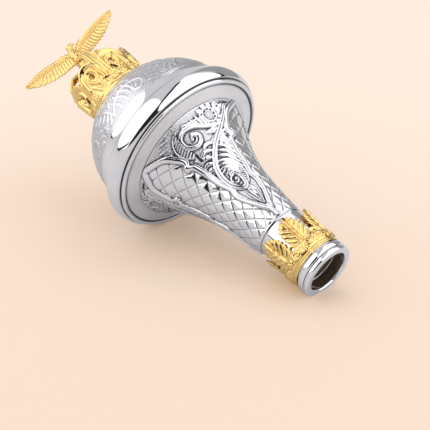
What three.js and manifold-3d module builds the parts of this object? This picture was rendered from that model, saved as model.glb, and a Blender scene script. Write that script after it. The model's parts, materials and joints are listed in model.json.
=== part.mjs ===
// Head of a ceremonial mace: an embossed silver neck and dome with a polished rim between them,
// a gilt leaf collar and a silver socket ring at the mouth, a gilt crown and a gilt eagle on the dome.
// Each piece is built upright in millimetres, with the mouth of the socket at height zero and the
// eagle on top. The whole head then lies down on its rim and its socket ring.
import * as THREE from 'three';
import { mergeVertices } from 'three/addons/utils/BufferGeometryUtils.js';
import Module from 'manifold-3d';

const wasm = await Module();
wasm.setup();

// Heights along the axis, each the length of one stretch, from the mouth up
const socketRingLength = 8.8;
const plainBandLength = 35.0;
const embossedNeckLength = 85.1;
const rimThickness = 28.7;
const domeCentreDrop = 4.5;
const domeHeight = 50.4;
const crownHeight = 48.0;

// Radii
const boreRadius = 14.6;
const mouthFaceRadius = 18.4;
const socketRingRadius = 19.6;
const plainBandRadius = 17.6;
const bandEndRadius = 18.2;
const collarRadius = 19.9;
const neckBaseRadius = 46.5;
const discRadius = 56.0;
const rimRadius = 62.6;
const domeRadius = 55.2;
const crownRadius = 24.0;
const eagleHalfSpan = 42.0;
const eagleHeight = 27.7;

// Walls, clearances and small sizes
const boreDepth = 62.0;
const boreChamfer = 0.7;
const jointGap = 0.3;
const collarWall = 1.5;
const leafLength = 19.0;
const leafWidthAngle = 48.0;
const crownWall = 2.6;
const bossRadius = 6.4;
const bossHeight = 7.0;
const rimFlatDepth = 0.45;
const mouthFlatDepth = 0.3;

// Mouldings of the rim, the socket ring and the collar
const discRise = 2.9;
const beadThickness = 1.6;
const beadBulge = 1.3;
const mouldingStep = 0.4;
const rimBulge = 3.9;
const rimBandLength = 9.4;
const rimBandFlare = 2.9;
const endMouldingLength = 3.5;
const endBulge = 0.9;
const ringBulge = 1.2;
const collarBandHeight = 12.6;
const collarSwell = 1.2;
const leafLean = 1.6;

// Ornament
const panelCount = 3;
const quiltCount = 15;
const quiltRows = 9;
const quiltHeight = 1.5;
const ribWidth = 3.6;
const ribHeight = 1.7;
const scrollWidth = 4.2;
const scrollHeight = 1.5;
const domeScrollCount = 3;
const domeScrollHeight = 1.0;
const leafPairs = 3;
const leafPairAngle = 56.0;
const collarHoleRadius = 1.4;
const collarHoleDrop = 0.9;
const lobeHoleSpread = 14.0;
const archCount = 4;
const archWidth = 7.4;
const lobeCount = 8;
const crownHoleWidth = 5.4;
const wingChord = 13.2;
const wingThickness = 2.0;
const wingFeathers = 7;
const wingLeanShare = 0.1;

// Turns about the axis, in degrees from the upper side of the lying head
const panelTurn = -24.0;
const leafTurn = -58.0;
const crownTurn = -32.0;
const eagleTurn = -35.0;

const degrees = Math.PI / 180;
const roundSegments = 32;
const ringSegments = 28;
const bossSegments = 12;
const ribSteps = 26;
const scrollSteps = 20;
const domeScrollSteps = 9;

// Heights worked out from the lengths above
const bandTop = socketRingLength + plainBandLength;
const neckTop = bandTop + embossedNeckLength;
const rimTop = neckTop + rimThickness;
const domeCentre = rimTop - domeCentreDrop;
const domeTop = domeCentre + domeHeight;
const crownBase = domeCentre + domeHeight * Math.sqrt(1 - (crownRadius / domeRadius) ** 2);
const crownTop = crownBase + crownHeight;

const silver = { color: 0xc9cace, roughness: 0.12, metalness: 1.0 };
const gilt = { color: 0xe9b64a, roughness: 0.2, metalness: 1.0 };

// A point at a height, an angle about the axis in degrees and a distance from it
function around(height, angle, radius) {
  return new THREE.Vector3(radius * Math.cos(angle * degrees), radius * Math.sin(angle * degrees), height);
}

// A closed body from rows of points, each row a loop of the same count; the rows end in caps or,
// when closed is true, the last row joins the first
function loftedGeometry(rows, closed = false) {
  const count = rows[0].length;
  const positions = [];
  const index = [];
  rows.forEach((row) => row.forEach((point) => positions.push(point.x, point.y, point.z)));
  const bands = closed ? rows.length : rows.length - 1;
  for (let row = 0; row < bands; row += 1) {
    const next = ((row + 1) % rows.length) * count;
    for (let column = 0; column < count; column += 1) {
      const beside = (column + 1) % count;
      index.push(row * count + column, row * count + beside, next + column);
      index.push(row * count + beside, next + beside, next + column);
    }
  }
  if (!closed) {
    [[0, true], [rows.length - 1, false]].forEach(([row, first]) => {
      const centre = new THREE.Vector3();
      rows[row].forEach((point) => centre.addScaledVector(point, 1 / count));
      const middle = positions.length / 3;
      positions.push(centre.x, centre.y, centre.z);
      for (let column = 0; column < count; column += 1) {
        const here = row * count + column;
        const beside = row * count + (column + 1) % count;
        index.push(middle, first ? beside : here, first ? here : beside);
      }
    });
  }
  const geometry = new THREE.BufferGeometry();
  geometry.setAttribute('position', new THREE.Float32BufferAttribute(positions, 3));
  geometry.setIndex(index);
  return geometry;
}

// Merges shared vertices, drops triangles without area and turns the faces outwards
function solidOf(geometry) {
  const plain = geometry.clone();
  plain.deleteAttribute('normal');
  plain.deleteAttribute('uv');
  const merged = mergeVertices(plain, 1e-4);
  const points = merged.getAttribute('position').array;
  const source = merged.getIndex().array;
  const corner = (k) => new THREE.Vector3(points[3 * k], points[3 * k + 1], points[3 * k + 2]);
  const kept = [];
  let volume = 0;
  for (let k = 0; k < source.length; k += 3) {
    const [a, b, c] = [source[k], source[k + 1], source[k + 2]];
    if (a !== b && b !== c && c !== a) {
      kept.push([a, b, c]);
      volume += corner(a).dot(corner(b).cross(corner(c)));
    }
  }
  const triVerts = new Uint32Array(kept.flatMap(([a, b, c]) => (volume > 0 ? [a, b, c] : [a, c, b])));
  const vertProperties = new Float32Array(points);
  return new wasm.Manifold(new wasm.Mesh({ numProp: 3, vertProperties, triVerts }));
}

// A named mesh from a solid
function meshOf(name, solid, finish) {
  const { vertProperties, triVerts, numProp } = solid.getMesh();
  const geometry = new THREE.BufferGeometry();
  const positions = new Float32Array((vertProperties.length / numProp) * 3);
  for (let k = 0; k * numProp < vertProperties.length; k += 1) {
    positions.set(vertProperties.subarray(k * numProp, k * numProp + 3), k * 3);
  }
  geometry.setAttribute('position', new THREE.BufferAttribute(positions, 3));
  geometry.setIndex(new THREE.BufferAttribute(new Uint32Array(triVerts), 1));
  geometry.computeVertexNormals();
  const mesh = new THREE.Mesh(geometry, new THREE.MeshStandardMaterial(finish));
  mesh.name = name;
  return mesh;
}

// A body of revolution about the axis from a closed profile of [radius, height] pairs
function turned(profile, segments = roundSegments) {
  const points = profile.map(([radius, height]) => new THREE.Vector2(radius, height));
  const geometry = new THREE.LatheGeometry([...points, points[0].clone()], segments);
  return solidOf(geometry.rotateX(Math.PI / 2));
}

// Points of a round moulding between two profile points, bulging to the right of the way from
// the first to the second
function moulding(from, to, bulge, steps) {
  const along = [to[0] - from[0], to[1] - from[1]];
  const points = [];
  for (let step = 0; step <= steps; step += 1) {
    const turn = (Math.PI * step) / steps;
    const share = (1 - Math.cos(turn)) / 2;
    const out = bulge * Math.sin(turn);
    const length = Math.hypot(...along);
    points.push([from[0] + along[0] * share + (along[1] / length) * out,
      from[1] + along[1] * share - (along[0] / length) * out]);
  }
  return points;
}

// Radius of the embossed neck: a steady taper that flares out towards the rim
function neckRadius(height) {
  const share = THREE.MathUtils.clamp((height - bandTop) / embossedNeckLength, 0, 1);
  const flare = 0.33 * share + 0.67 * share ** 3.6;
  return bandEndRadius + (neckBaseRadius - bandEndRadius) * flare;
}

// Heights at equal steps along the surface of the neck
function neckHeights(steps) {
  const fine = 400;
  const lengths = [0];
  for (let k = 1; k <= fine; k += 1) {
    const low = bandTop + (embossedNeckLength * (k - 1)) / fine;
    const high = bandTop + (embossedNeckLength * k) / fine;
    lengths.push(lengths[k - 1] + Math.hypot(high - low, neckRadius(high) - neckRadius(low)));
  }
  const heights = [];
  let k = 0;
  for (let step = 0; step <= steps; step += 1) {
    const wanted = (lengths[fine] * step) / steps;
    while (k < fine && lengths[k + 1] < wanted) k += 1;
    const share = k === fine ? 0 : (wanted - lengths[k]) / (lengths[k + 1] - lengths[k]);
    heights.push(bandTop + (embossedNeckLength * Math.min(k + share, fine)) / fine);
  }
  return heights;
}

// Outline of one scroll panel: share of the neck's height and half width in degrees
const panelOutline = [[1.0, 60], [0.92, 44], [0.84, 36.5], [0.79, 33.5], [0.755, 37], [0.715, 31.5],
  [0.6, 29], [0.5, 27.5], [0.41, 23], [0.345, 25.5], [0.27, 21.5], [0.14, 8], [0.07, 1]];

// Half width of a scroll panel in degrees at a share of the neck's height
function panelHalfWidth(share) {
  for (let k = 1; k < panelOutline.length; k += 1) {
    const [high, highAngle] = panelOutline[k - 1];
    const [low, lowAngle] = panelOutline[k];
    if (share >= low) {
      return THREE.MathUtils.mapLinear(share, low, high, lowAngle, highAngle);
    }
  }
  return 0;
}

// Angle from the middle of the nearest scroll panel
function panelOffset(angle) {
  const period = 360 / panelCount;
  return angle - period * Math.round(angle / period);
}

// Surface of the embossed neck at a share of its height and an angle, raised by some height
function neckPoint(share, angle, raised = 0) {
  const height = bandTop + embossedNeckLength * share;
  return around(height, angle, neckRadius(height) + raised);
}

// Surface of the dome at an angle off its equator and an angle about the axis
function domePoint(rise, angle, raised = 0) {
  const radius = (domeRadius + raised) * Math.cos(rise * degrees);
  return around(domeCentre + (domeHeight + raised) * Math.sin(rise * degrees), angle, radius);
}

// A raised strip that follows a route of [share, angle] pairs over a surface and thins out at
// its ends where tapered is true
function raisedStrip(route, surface, width, height, steps, tapered) {
  const curve = new THREE.CatmullRomCurve3(route.map(([share, angle]) => surface(share, angle)));
  const axis = new THREE.Vector3(0, 0, 1);
  const sunk = 0.9;
  const rows = [];
  for (let step = 0; step <= steps; step += 1) {
    const at = step / steps;
    const point = curve.getPoint(at);
    const ahead = curve.getTangent(at);
    const outward = new THREE.Vector3(point.x, point.y, 0).normalize();
    const side = new THREE.Vector3().crossVectors(outward, ahead).normalize();
    const up = new THREE.Vector3().crossVectors(ahead, side).normalize();
    if (up.dot(outward) < 0 && up.dot(axis) < 0) up.negate();
    const full = tapered ? Math.max(Math.sin(Math.PI * (0.06 + 0.88 * at)), 0.05) ** 0.6 : 1;
    const half = (width / 2) * full * (1 + sunk);
    rows.push([[-half, -sunk * height * full], [0, height * full], [half, -sunk * height * full]].map(
      ([across, raised]) => point.clone().addScaledVector(side, across).addScaledVector(up, raised)));
  }
  return solidOf(loftedGeometry(rows));
}

// Core of the neck: a plain band, then diamonds cut as low pyramids between the scroll panels
function neckCore() {
  const heights = neckHeights(2 * quiltRows);
  const columns = 2 * quiltCount;
  const bandStep = 0.8;
  const quiltMargin = 4;
  const positions = [];
  const index = [];
  const floor = [[boreRadius, jointGap + socketRingLength], [plainBandRadius, jointGap + socketRingLength],
    [plainBandRadius, bandTop - bandStep]];
  const ring = (height, radius) => {
    for (let column = 0; column < columns; column += 1) {
      const point = around(height, (360 * column) / columns, radius(column));
      positions.push(point.x, point.y, point.z);
    }
  };
  floor.forEach(([radius, height]) => ring(height, () => radius));
  heights.forEach((height, row) => ring(height, (column) => {
    const offset = Math.abs(panelOffset((360 * column) / columns));
    const share = (height - bandTop) / embossedNeckLength;
    const quilted = offset > panelHalfWidth(share) + quiltMargin && row > 0 && row < heights.length - 1;
    const peak = (row + column) % 2 === 1;
    return neckRadius(height) + (quilted && peak ? quiltHeight : 0);
  }));
  ring(neckTop, () => 0);
  const rows = positions.length / 3 / columns;
  for (let row = 0; row + 1 < rows; row += 1) {
    for (let column = 0; column < columns; column += 1) {
      const beside = (column + 1) % columns;
      const [a, b] = [row * columns + column, row * columns + beside];
      const [c, d] = [a + columns, b + columns];
      const lowFirst = (row - floor.length + column) % 2 === 0;
      index.push(...(lowFirst ? [a, b, d, a, d, c] : [a, b, c, b, d, c]));
    }
  }
  const lowRing = positions.length / 3;
  positions.push(0, 0, jointGap + socketRingLength);
  for (let column = 0; column < columns; column += 1) {
    index.push(lowRing, (column + 1) % columns, column);
  }
  const geometry = new THREE.BufferGeometry();
  geometry.setAttribute('position', new THREE.Float32BufferAttribute(positions, 3));
  geometry.setIndex(index);
  const bore = turned([[0, 0], [boreRadius, 0], [boreRadius, boreDepth], [0, boreDepth]]);
  return solidOf(geometry).subtract(bore);
}

// Bold ribs that frame each scroll panel and meet below it in a point
function panelRibs(middle) {
  const top = 0.985;
  const side = panelOutline.map(([share, half]) => [Math.min(share, top), half]);
  const route = [...side.map(([share, half]) => [share, middle - half]),
    ...side.reverse().map(([share, half]) => [share, middle + half])];
  return raisedStrip(route, neckPoint, ribWidth, ribHeight, ribSteps, false);
}

// Scroll of one panel: a stem that starts beside the rib at the top, winds down across the panel
// and rolls into a volute, as [share of the height, degrees from the panel's middle]
function panelScroll(middle) {
  const stem = [[0.92, 38], [0.84, 29], [0.75, 10], [0.66, -5], [0.58, -15], [0.48, -18], [0.38, -12],
    [0.36, -1], [0.42, 6], [0.49, 1], [0.46, -7]];
  const route = stem.map(([share, angle]) => [share, angle + middle]);
  return raisedStrip(route, neckPoint, scrollWidth, scrollHeight, scrollSteps, true);
}

function neck() {
  const ornament = [];
  for (let panel = 0; panel < panelCount; panel += 1) {
    const middle = (360 * panel) / panelCount;
    ornament.push(panelRibs(middle), panelScroll(middle));
  }
  const above = turned([[0, neckTop], [2 * rimRadius, neckTop], [2 * rimRadius, domeTop], [0, domeTop]], 8);
  return wasm.Manifold.union([neckCore(), ...ornament]).subtract(above);
}

// Polished rim: flat disc with a bead at its edge, the bold round moulding and the band above it
function flange() {
  const seat = neckTop + jointGap;
  const lip = neckBaseRadius + 2.4 * jointGap;
  const discEdge = neckTop + discRise;
  const beadTop = discEdge + beadThickness;
  const bulgeTop = rimTop - rimBandLength;
  const beadFoot = discRadius + mouldingStep;
  const bulgeFoot = rimRadius - rimBulge;
  const bandFoot = domeRadius + rimBandFlare;
  const profile = [[0, seat], [lip, seat], [lip + mouldingStep, neckTop],
    [discRadius - mouldingStep, discEdge],
    ...moulding([beadFoot, discEdge], [bulgeFoot + mouldingStep, beadTop], beadBulge, 2),
    ...moulding([bulgeFoot + mouldingStep, beadTop + mouldingStep], [bulgeFoot - mouldingStep, bulgeTop],
      rimBulge, 5),
    [bandFoot, bulgeTop + mouldingStep], [bandFoot - rimBandFlare / 3, rimTop - rimBandLength / 2],
    [domeRadius + mouldingStep, rimTop - jointGap], [0, rimTop - jointGap]];
  return turned(profile);
}

// Embossed dome with a crest of scrolls that turn round it
function domeCap() {
  const low = Math.asin(domeCentreDrop / domeHeight) / degrees;
  const steps = 7;
  const profile = [[0, rimTop]];
  for (let step = 0; step <= steps; step += 1) {
    const rise = (low + ((90 - low) * step) / steps) * degrees;
    profile.push([domeRadius * Math.cos(rise), domeCentre + domeHeight * Math.sin(rise)]);
  }
  profile[profile.length - 1][0] = 0;
  const scroll = [[12, -24], [24, -20], [36, -10], [42, 4], [34, 15], [22, 14], [19, 3], [27, -2], [31, 5]];
  const scrolls = [];
  for (let copy = 0; copy < domeScrollCount; copy += 1) {
    const turn = (360 * copy) / domeScrollCount;
    const route = scroll.map(([rise, angle]) => [rise, angle + turn]);
    scrolls.push(raisedStrip(route, domePoint, scrollWidth, domeScrollHeight, domeScrollSteps, true));
  }
  return wasm.Manifold.union([turned(profile), ...scrolls]);
}

// Socket ring at the mouth: two round mouldings and a flat end face round the bore
function socketRing() {
  const slope = 0.2;
  const ringFoot = socketRingRadius - ringBulge;
  const profile = [[boreRadius, socketRingLength], [boreRadius, boreChamfer], [boreRadius + boreChamfer, 0],
    [mouthFaceRadius - slope, 0],
    ...moulding([mouthFaceRadius, slope], [mouthFaceRadius + slope, endMouldingLength], endBulge, 3),
    ...moulding([mouthFaceRadius + slope, endMouldingLength + mouldingStep],
      [ringFoot, socketRingLength - slope], ringBulge, 4), [ringFoot - slope, socketRingLength]];
  return turned(profile, ringSegments);
}

// Height of a collar leaf over the band at an angle off its middle, with toothed edges
function leafHeight(offset) {
  const share = Math.min(Math.abs(offset) / (leafWidthAngle / 2), 1);
  const tooth = 0.06 * Math.cos(4 * 2 * Math.PI * share);
  return leafLength * (Math.sqrt(1 - share ** 1.6) * (1 - 0.12 * share) + (share < 1 ? tooth - 0.06 : 0));
}

// Angle of the middle of each collar leaf: the leaves stand in close pairs
function leafMiddles() {
  const middles = [];
  for (let pair = 0; pair < leafPairs; pair += 1) {
    const centre = (360 * pair) / leafPairs;
    middles.push(centre - leafPairAngle / 2, centre + leafPairAngle / 2);
  }
  return middles;
}

// Leaf collar: a moulded band with toothed leaves that rise from it and lean outwards at the tips
function leafCollar() {
  const low = socketRingLength + jointGap;
  const high = low + collarBandHeight;
  const inner = plainBandRadius + jointGap;
  const outer = inner + collarWall;
  const columnsPerPair = 24;
  const columns = columnsPerPair * leafPairs;
  const middles = leafMiddles();
  const ribDepth = 0.35;
  const rows = [];
  for (let column = 0; column < columns; column += 1) {
    const angle = (360 * column) / columns;
    const offsets = middles.map((middle) => Math.abs(((angle - middle + 540) % 360) - 180));
    const leaf = leafHeight(Math.min(...offsets));
    const lean = leafLean * (leaf / leafLength) ** 2;
    const rib = column % 2 === 0 ? ribDepth : 0;
    rows.push([[inner, low], [collarRadius - collarSwell, low],
      [collarRadius, low + collarBandHeight / 2], [outer, high - mouldingStep],
      [outer + rib + lean / 2, high + 0.55 * leaf],
      [outer - mouldingStep + lean, high + leaf], [inner + lean, high + leaf]].map(
      ([radius, height]) => around(height, angle, radius)));
  }
  return solidOf(loftedGeometry(rows, true)).subtract(wasm.Manifold.union(collarHoles(inner, high)));
}

// Small round holes through the collar at the feet of the leaves: one inside each close pair and
// two that flank the round lobe between one pair and the next
function collarHoles(inner, bandTopHeight) {
  const period = 360 / leafPairs;
  const places = [0, period / 2 - lobeHoleSpread, period / 2 + lobeHoleSpread];
  const sides = 6;
  return Array.from({ length: leafPairs }, (_, pair) => places.map((place) => {
    const drill = new THREE.CylinderGeometry(collarHoleRadius, collarHoleRadius, inner, sides);
    drill.rotateZ(Math.PI / 2).translate(inner, 0, bandTopHeight - collarHoleDrop);
    return solidOf(drill.rotateZ((period * pair + place) * degrees));
  })).flat();
}

// Middle line of an arch of the crown, from its foot on the circlet over the shoulder to the top
function archCurve(angle) {
  const outline = [[0.98, 0.36], [1.0, 0.56], [0.96, 0.72], [0.86, 0.85], [0.66, 0.93], [0.4, 0.94],
    [0.12, 0.92]];
  return new THREE.CatmullRomCurve3(outline.map(
    ([out, rise]) => around(crownBase + crownHeight * rise, angle, crownRadius * out)));
}

// Crown: circlet that follows the dome, pierced lobes, arches and a boss under the eagle
function crown() {
  const columns = 5 * lobeCount;
  const inner = crownRadius - crownWall;
  const rimOut = 2;
  const rimHeight = 2.4;
  const lobeLow = 0.46;
  const lobeRise = 0.2;
  const seat = domeRadius + jointGap;
  const foot = (radius) => domeCentre + jointGap
    + (domeHeight + jointGap) * Math.sqrt(1 - (radius / seat) ** 2);
  const rows = [];
  for (let column = 0; column < columns; column += 1) {
    const angle = (360 * column) / columns;
    const wave = Math.abs(Math.sin(((angle * lobeCount) / 2) * degrees));
    const lobeTop = crownBase + crownHeight * (lobeLow + lobeRise * wave ** 0.6);
    rows.push([[inner, foot(inner)], [crownRadius + rimOut, foot(crownRadius + rimOut)],
      [crownRadius + rimOut, crownBase + rimHeight], [crownRadius, crownBase + 2 * rimHeight],
      [crownRadius + rimOut / 2, lobeTop - rimOut], [crownRadius, lobeTop], [inner, lobeTop]].map(
      ([radius, height]) => around(height, angle, radius)));
  }
  const solids = [solidOf(loftedGeometry(rows, true))];
  for (let arch = 0; arch < archCount; arch += 1) {
    solids.push(crownArch((360 * arch) / archCount));
  }
  const shell = wasm.Manifold.union(solids).subtract(wasm.Manifold.union(crownHoles()));
  return shell.add(crownBoss());
}

// Drop-shaped holes through the lobes of the crown
function crownHoles() {
  const sides = 6;
  const stretch = 1.25;
  return Array.from({ length: lobeCount }, (_, lobe) => {
    const hole = new THREE.CylinderGeometry(crownHoleWidth / 2, crownHoleWidth / 2, crownRadius, sides);
    hole.scale(1, 1, stretch).rotateZ(Math.PI / 2);
    hole.translate(crownRadius, 0, crownBase + 0.43 * crownHeight);
    return solidOf(hole.rotateZ(((360 * (lobe + 0.5)) / lobeCount) * degrees));
  });
}

// Boss that the arches meet in and the eagle stands on
function crownBoss() {
  const outline = [[0, 1], [0.62, 0.92], [1, 0.64], [0.87, 0.31], [0.56, 0.23], [0.56, 0], [0, 0]];
  return turned(outline.map(([out, drop]) => [out * bossRadius, crownTop - drop * bossHeight]), bossSegments);
}

// One arch of the crown, from the circlet over the shoulder to the boss
function crownArch(angle) {
  const steps = 7;
  const rows = [];
  const half = archWidth / 2;
  const curve = archCurve(angle);
  const across = new THREE.Vector3(-Math.sin(angle * degrees), Math.cos(angle * degrees), 0);
  for (let step = 0; step <= steps; step += 1) {
    const share = step / steps;
    const here = curve.getPoint(share);
    const out = new THREE.Vector3().crossVectors(across, curve.getTangent(share)).normalize();
    const narrow = half * (1 - 0.35 * share);
    rows.push([[-narrow, -2.4], [narrow, -2.4], [narrow, 0.2], [-narrow, 0.2]].map(
      ([aside, raised]) => here.clone().addScaledVector(across, aside).addScaledVector(out, raised)));
  }
  return solidOf(loftedGeometry(rows));
}

// A body with round cross-sections along a route of [across, back, height, radius] stations
function roundedBody(stations, sides) {
  const rows = stations.map(([across, back, height, radius], at) => {
    const before = stations[Math.max(at - 1, 0)];
    const after = stations[Math.min(at + 1, stations.length - 1)];
    const ahead = new THREE.Vector3(...after.slice(0, 3)).sub(new THREE.Vector3(...before.slice(0, 3)));
    ahead.normalize();
    const first = new THREE.Vector3(0, 1, 0).addScaledVector(ahead, -ahead.y).normalize();
    const second = new THREE.Vector3().crossVectors(ahead, first);
    return Array.from({ length: sides }, (_, side) => {
      const turn = (2 * Math.PI * side) / sides;
      return new THREE.Vector3(across, back, height).addScaledVector(first, radius * Math.cos(turn))
        .addScaledVector(second, radius * Math.sin(turn));
    });
  });
  return solidOf(loftedGeometry(rows));
}

// Height of the wing's leading edge and its chord at a share of the half span
function wingEdge(share) {
  const rise = 0.632 + 0.31 * Math.sin(Math.PI * 0.62 * share ** 0.8) - 0.094 * share ** 4;
  const lead = eagleHeight * rise;
  const chord = wingChord * Math.sqrt(Math.max(1 - share ** 3.2, 0)) * (0.72 + 0.5 * share * (1 - share) * 2);
  return { lead, chord };
}

// One wing: a thin cambered blade whose trailing edge is notched between the long feathers
function wing(side) {
  const steps = 2 * wingFeathers;
  const sweep = 0.08 * eagleHeight;
  const rows = [];
  for (let step = 0; step <= steps; step += 1) {
    const share = 0.04 + (0.96 * step) / steps;
    const { lead, chord } = wingEdge(share);
    const notch = step % 2 === 1 ? 0 : 1.3 * Math.min(1, chord / 4);
    const reach = Math.max(chord - notch, 0.7);
    const thick = wingThickness * (1 - 0.55 * share);
    const section = [[0, 0], [0.4, thick * 0.6], [1, thick * 0.15], [1, -thick * 0.15], [0.5, -thick * 0.4]];
    rows.push(section.map(([along, raised]) => new THREE.Vector3(side * eagleHalfSpan * share,
      wingLeanShare * along * reach + raised + sweep * share * share, lead - along * reach * 0.93)));
  }
  return solidOf(loftedGeometry(rows));
}

// Tail: a ridged fan that hangs behind the body over the crown, in shares of the eagle's height
function tail() {
  const feathers = 4;
  const half = 0.224;
  const ridgeHeight = 0.025;
  const stations = [[0.235, 0.072, 0.32], [0.094, 0.195, 0.7], [-0.022, 0.354, 1]];
  const rows = stations.map(([height, back, spread]) => {
    const top = [];
    const under = [];
    for (let k = 0; k <= 2 * feathers; k += 1) {
      const across = half * spread * (k / feathers - 1);
      const ridge = k % 2 === 1 ? ridgeHeight : 0;
      const drop = (ridgeHeight - ridge) * spread;
      top.push(new THREE.Vector3(across, back + ridgeHeight + ridge, height - drop));
      under.unshift(new THREE.Vector3(across, back - ridgeHeight, height));
    }
    return [...top, ...under].map((point) => point.multiplyScalar(eagleHeight));
  });
  return solidOf(loftedGeometry(rows));
}

// Eagle: body, neck and turned head with a hooked beak, two wings, tail and two legs, the figure's
// stations being shares of its height
function eagle() {
  const sized = (stations) => stations.map((station) => station.map((share) => share * eagleHeight));
  const body = roundedBody(sized([[0, 0.043, 0.072, 0.029], [0, 0.036, 0.144, 0.108],
    [0, 0.014, 0.307, 0.166], [0, 0, 0.469, 0.18], [0, 0, 0.614, 0.152],
    [-0.014, 0, 0.722, 0.105], [-0.032, 0, 0.83, 0.083], [-0.05, 0, 0.91, 0.087],
    [-0.058, 0, 0.971, 0.061], [-0.058, 0, 1, 0.018]]), 8);
  const beak = roundedBody(sized([[-0.043, 0, 0.928, 0.069], [-0.123, 0, 0.939, 0.054],
    [-0.18, 0, 0.928, 0.036], [-0.213, 0, 0.892, 0.013]]), 6);
  const legs = [-1, 1].map((side) => roundedBody(sized([[side * 0.101, -0.065, 0.217, 0.065],
    [side * 0.116, -0.079, 0.09, 0.047], [side * 0.116, -0.087, 0, 0.061]]), 6));
  const perchOutline = [[0, 0], [0.94, 0], [0.84, 0.25], [0.56, 0.41], [0, 0.44]];
  const perchPoints = perchOutline.map(([out, rise]) => [out * bossRadius, rise * bossRadius]);
  const perch = turned(perchPoints, bossSegments);
  return wasm.Manifold.union([body, beak, ...legs, wing(-1), wing(1), tail(), perch]);
}

// Lies the upright head down: turned about its axis, laid over and set on the floor
const lowestRimHeight = neckTop + 0.4042 * rimThickness;
const lowestMouthHeight = 0.7045 * socketRingLength;
const lyingTilt = Math.atan((rimRadius - socketRingRadius - rimFlatDepth + mouthFlatDepth)
  / (lowestRimHeight - lowestMouthHeight));

// Turns an upright solid about its axis and then lays it down, the eagle to the left and up
function laid(solid, turn) {
  const axis = new THREE.Vector3(-Math.cos(lyingTilt), 0, Math.sin(lyingTilt));
  const upper = new THREE.Vector3(Math.sin(lyingTilt), 0, Math.cos(lyingTilt));
  const matrix = new THREE.Matrix4().makeBasis(upper, new THREE.Vector3(0, 1, 0), axis);
  matrix.multiply(new THREE.Matrix4().makeRotationZ(turn * degrees));
  return solid.transform(matrix.toArray());
}

// Where the lying rim touches the floor
function floorHeight() {
  const alongAxis = lowestRimHeight * Math.sin(lyingTilt);
  return alongAxis - (rimRadius - rimFlatDepth) * Math.cos(lyingTilt);
}

// Everything below the floor, which leaves small flat spots where the head rests
function belowFloor() {
  const block = new THREE.BoxGeometry(6 * domeTop, 6 * domeTop, domeTop);
  block.translate(0, 0, floorHeight() - domeTop / 2);
  return solidOf(block);
}

const pieces = [
  ['dome_cap', domeCap(), panelTurn, silver],
  ['flange', flange(), 0, silver],
  ['neck', neck(), panelTurn, silver],
  ['leaf_collar', leafCollar(), leafTurn, gilt],
  ['socket_ring', socketRing(), 0, silver],
  ['crown', crown(), crownTurn, gilt],
  ['eagle', eagle().translate(0, 0, crownTop + jointGap), eagleTurn - 90, gilt],
].map(([name, solid, turn, finish]) => ({ name, finish, solid: laid(solid, turn) }));

const floor = belowFloor();
const standing = ['flange', 'socket_ring'];
const solids = pieces.map((piece) => (standing.includes(piece.name)
  ? { ...piece, solid: piece.solid.subtract(floor) } : piece));

// Brings the middle of the whole head's box over the origin, with the floor at height zero
const whole = new THREE.Box3();
solids.forEach(({ solid }) => {
  const { min, max } = solid.boundingBox();
  whole.expandByPoint(new THREE.Vector3(...min)).expandByPoint(new THREE.Vector3(...max));
});
const middle = whole.getCenter(new THREE.Vector3());

const head = new THREE.Group();
solids.forEach(({ name, solid, finish }) => {
  head.add(meshOf(name, solid.translate(-middle.x, -middle.y, -floorHeight()), finish));
});

export default head;
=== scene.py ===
"""Looks of the head of a ceremonial mace, lying on its side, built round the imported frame.

Every surface is worked out upright, with heights along the axis from the mouth of the socket and
angles about it from the upper side of the lying head, and is then laid down by LyingFrame, which
takes its place and tilt from the record's mouth_face. Sizes are in millimetres until then.
"""

import json
import logging
import math
from dataclasses import dataclass, field
from enum import Enum
from typing import Callable, Optional, Sequence

import bpy
import numpy as np
from mathutils import Matrix, Vector

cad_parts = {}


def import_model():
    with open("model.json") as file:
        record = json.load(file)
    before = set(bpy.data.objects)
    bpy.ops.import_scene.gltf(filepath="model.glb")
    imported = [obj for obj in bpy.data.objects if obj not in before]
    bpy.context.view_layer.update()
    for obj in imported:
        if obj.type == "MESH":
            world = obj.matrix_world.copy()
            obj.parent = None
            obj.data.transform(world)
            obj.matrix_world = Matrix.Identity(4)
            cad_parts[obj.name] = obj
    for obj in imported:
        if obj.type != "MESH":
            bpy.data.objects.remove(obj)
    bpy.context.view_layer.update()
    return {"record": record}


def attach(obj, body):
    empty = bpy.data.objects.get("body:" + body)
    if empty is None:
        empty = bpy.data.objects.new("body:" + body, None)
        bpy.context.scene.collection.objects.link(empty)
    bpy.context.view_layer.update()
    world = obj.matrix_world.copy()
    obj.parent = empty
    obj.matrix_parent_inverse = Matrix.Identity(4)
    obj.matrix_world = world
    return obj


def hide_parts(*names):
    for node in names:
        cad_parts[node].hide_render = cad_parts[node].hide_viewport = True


LOG = logging.getLogger("mace_head")
MILLIMETRE = 0.001

Grid = np.ndarray
Place = tuple[float, float]
Route = Sequence[Place]
Colour = tuple[float, float, float]


class Slot(Enum):
    """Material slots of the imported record."""

    EMBOSSED = "silver_embossed"
    POLISHED = "silver_polished"
    GILT = "gilt"


class Seam(Enum):
    """How the columns of a surface grid close."""

    ROUND = "round"
    OPEN = "open"


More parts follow.
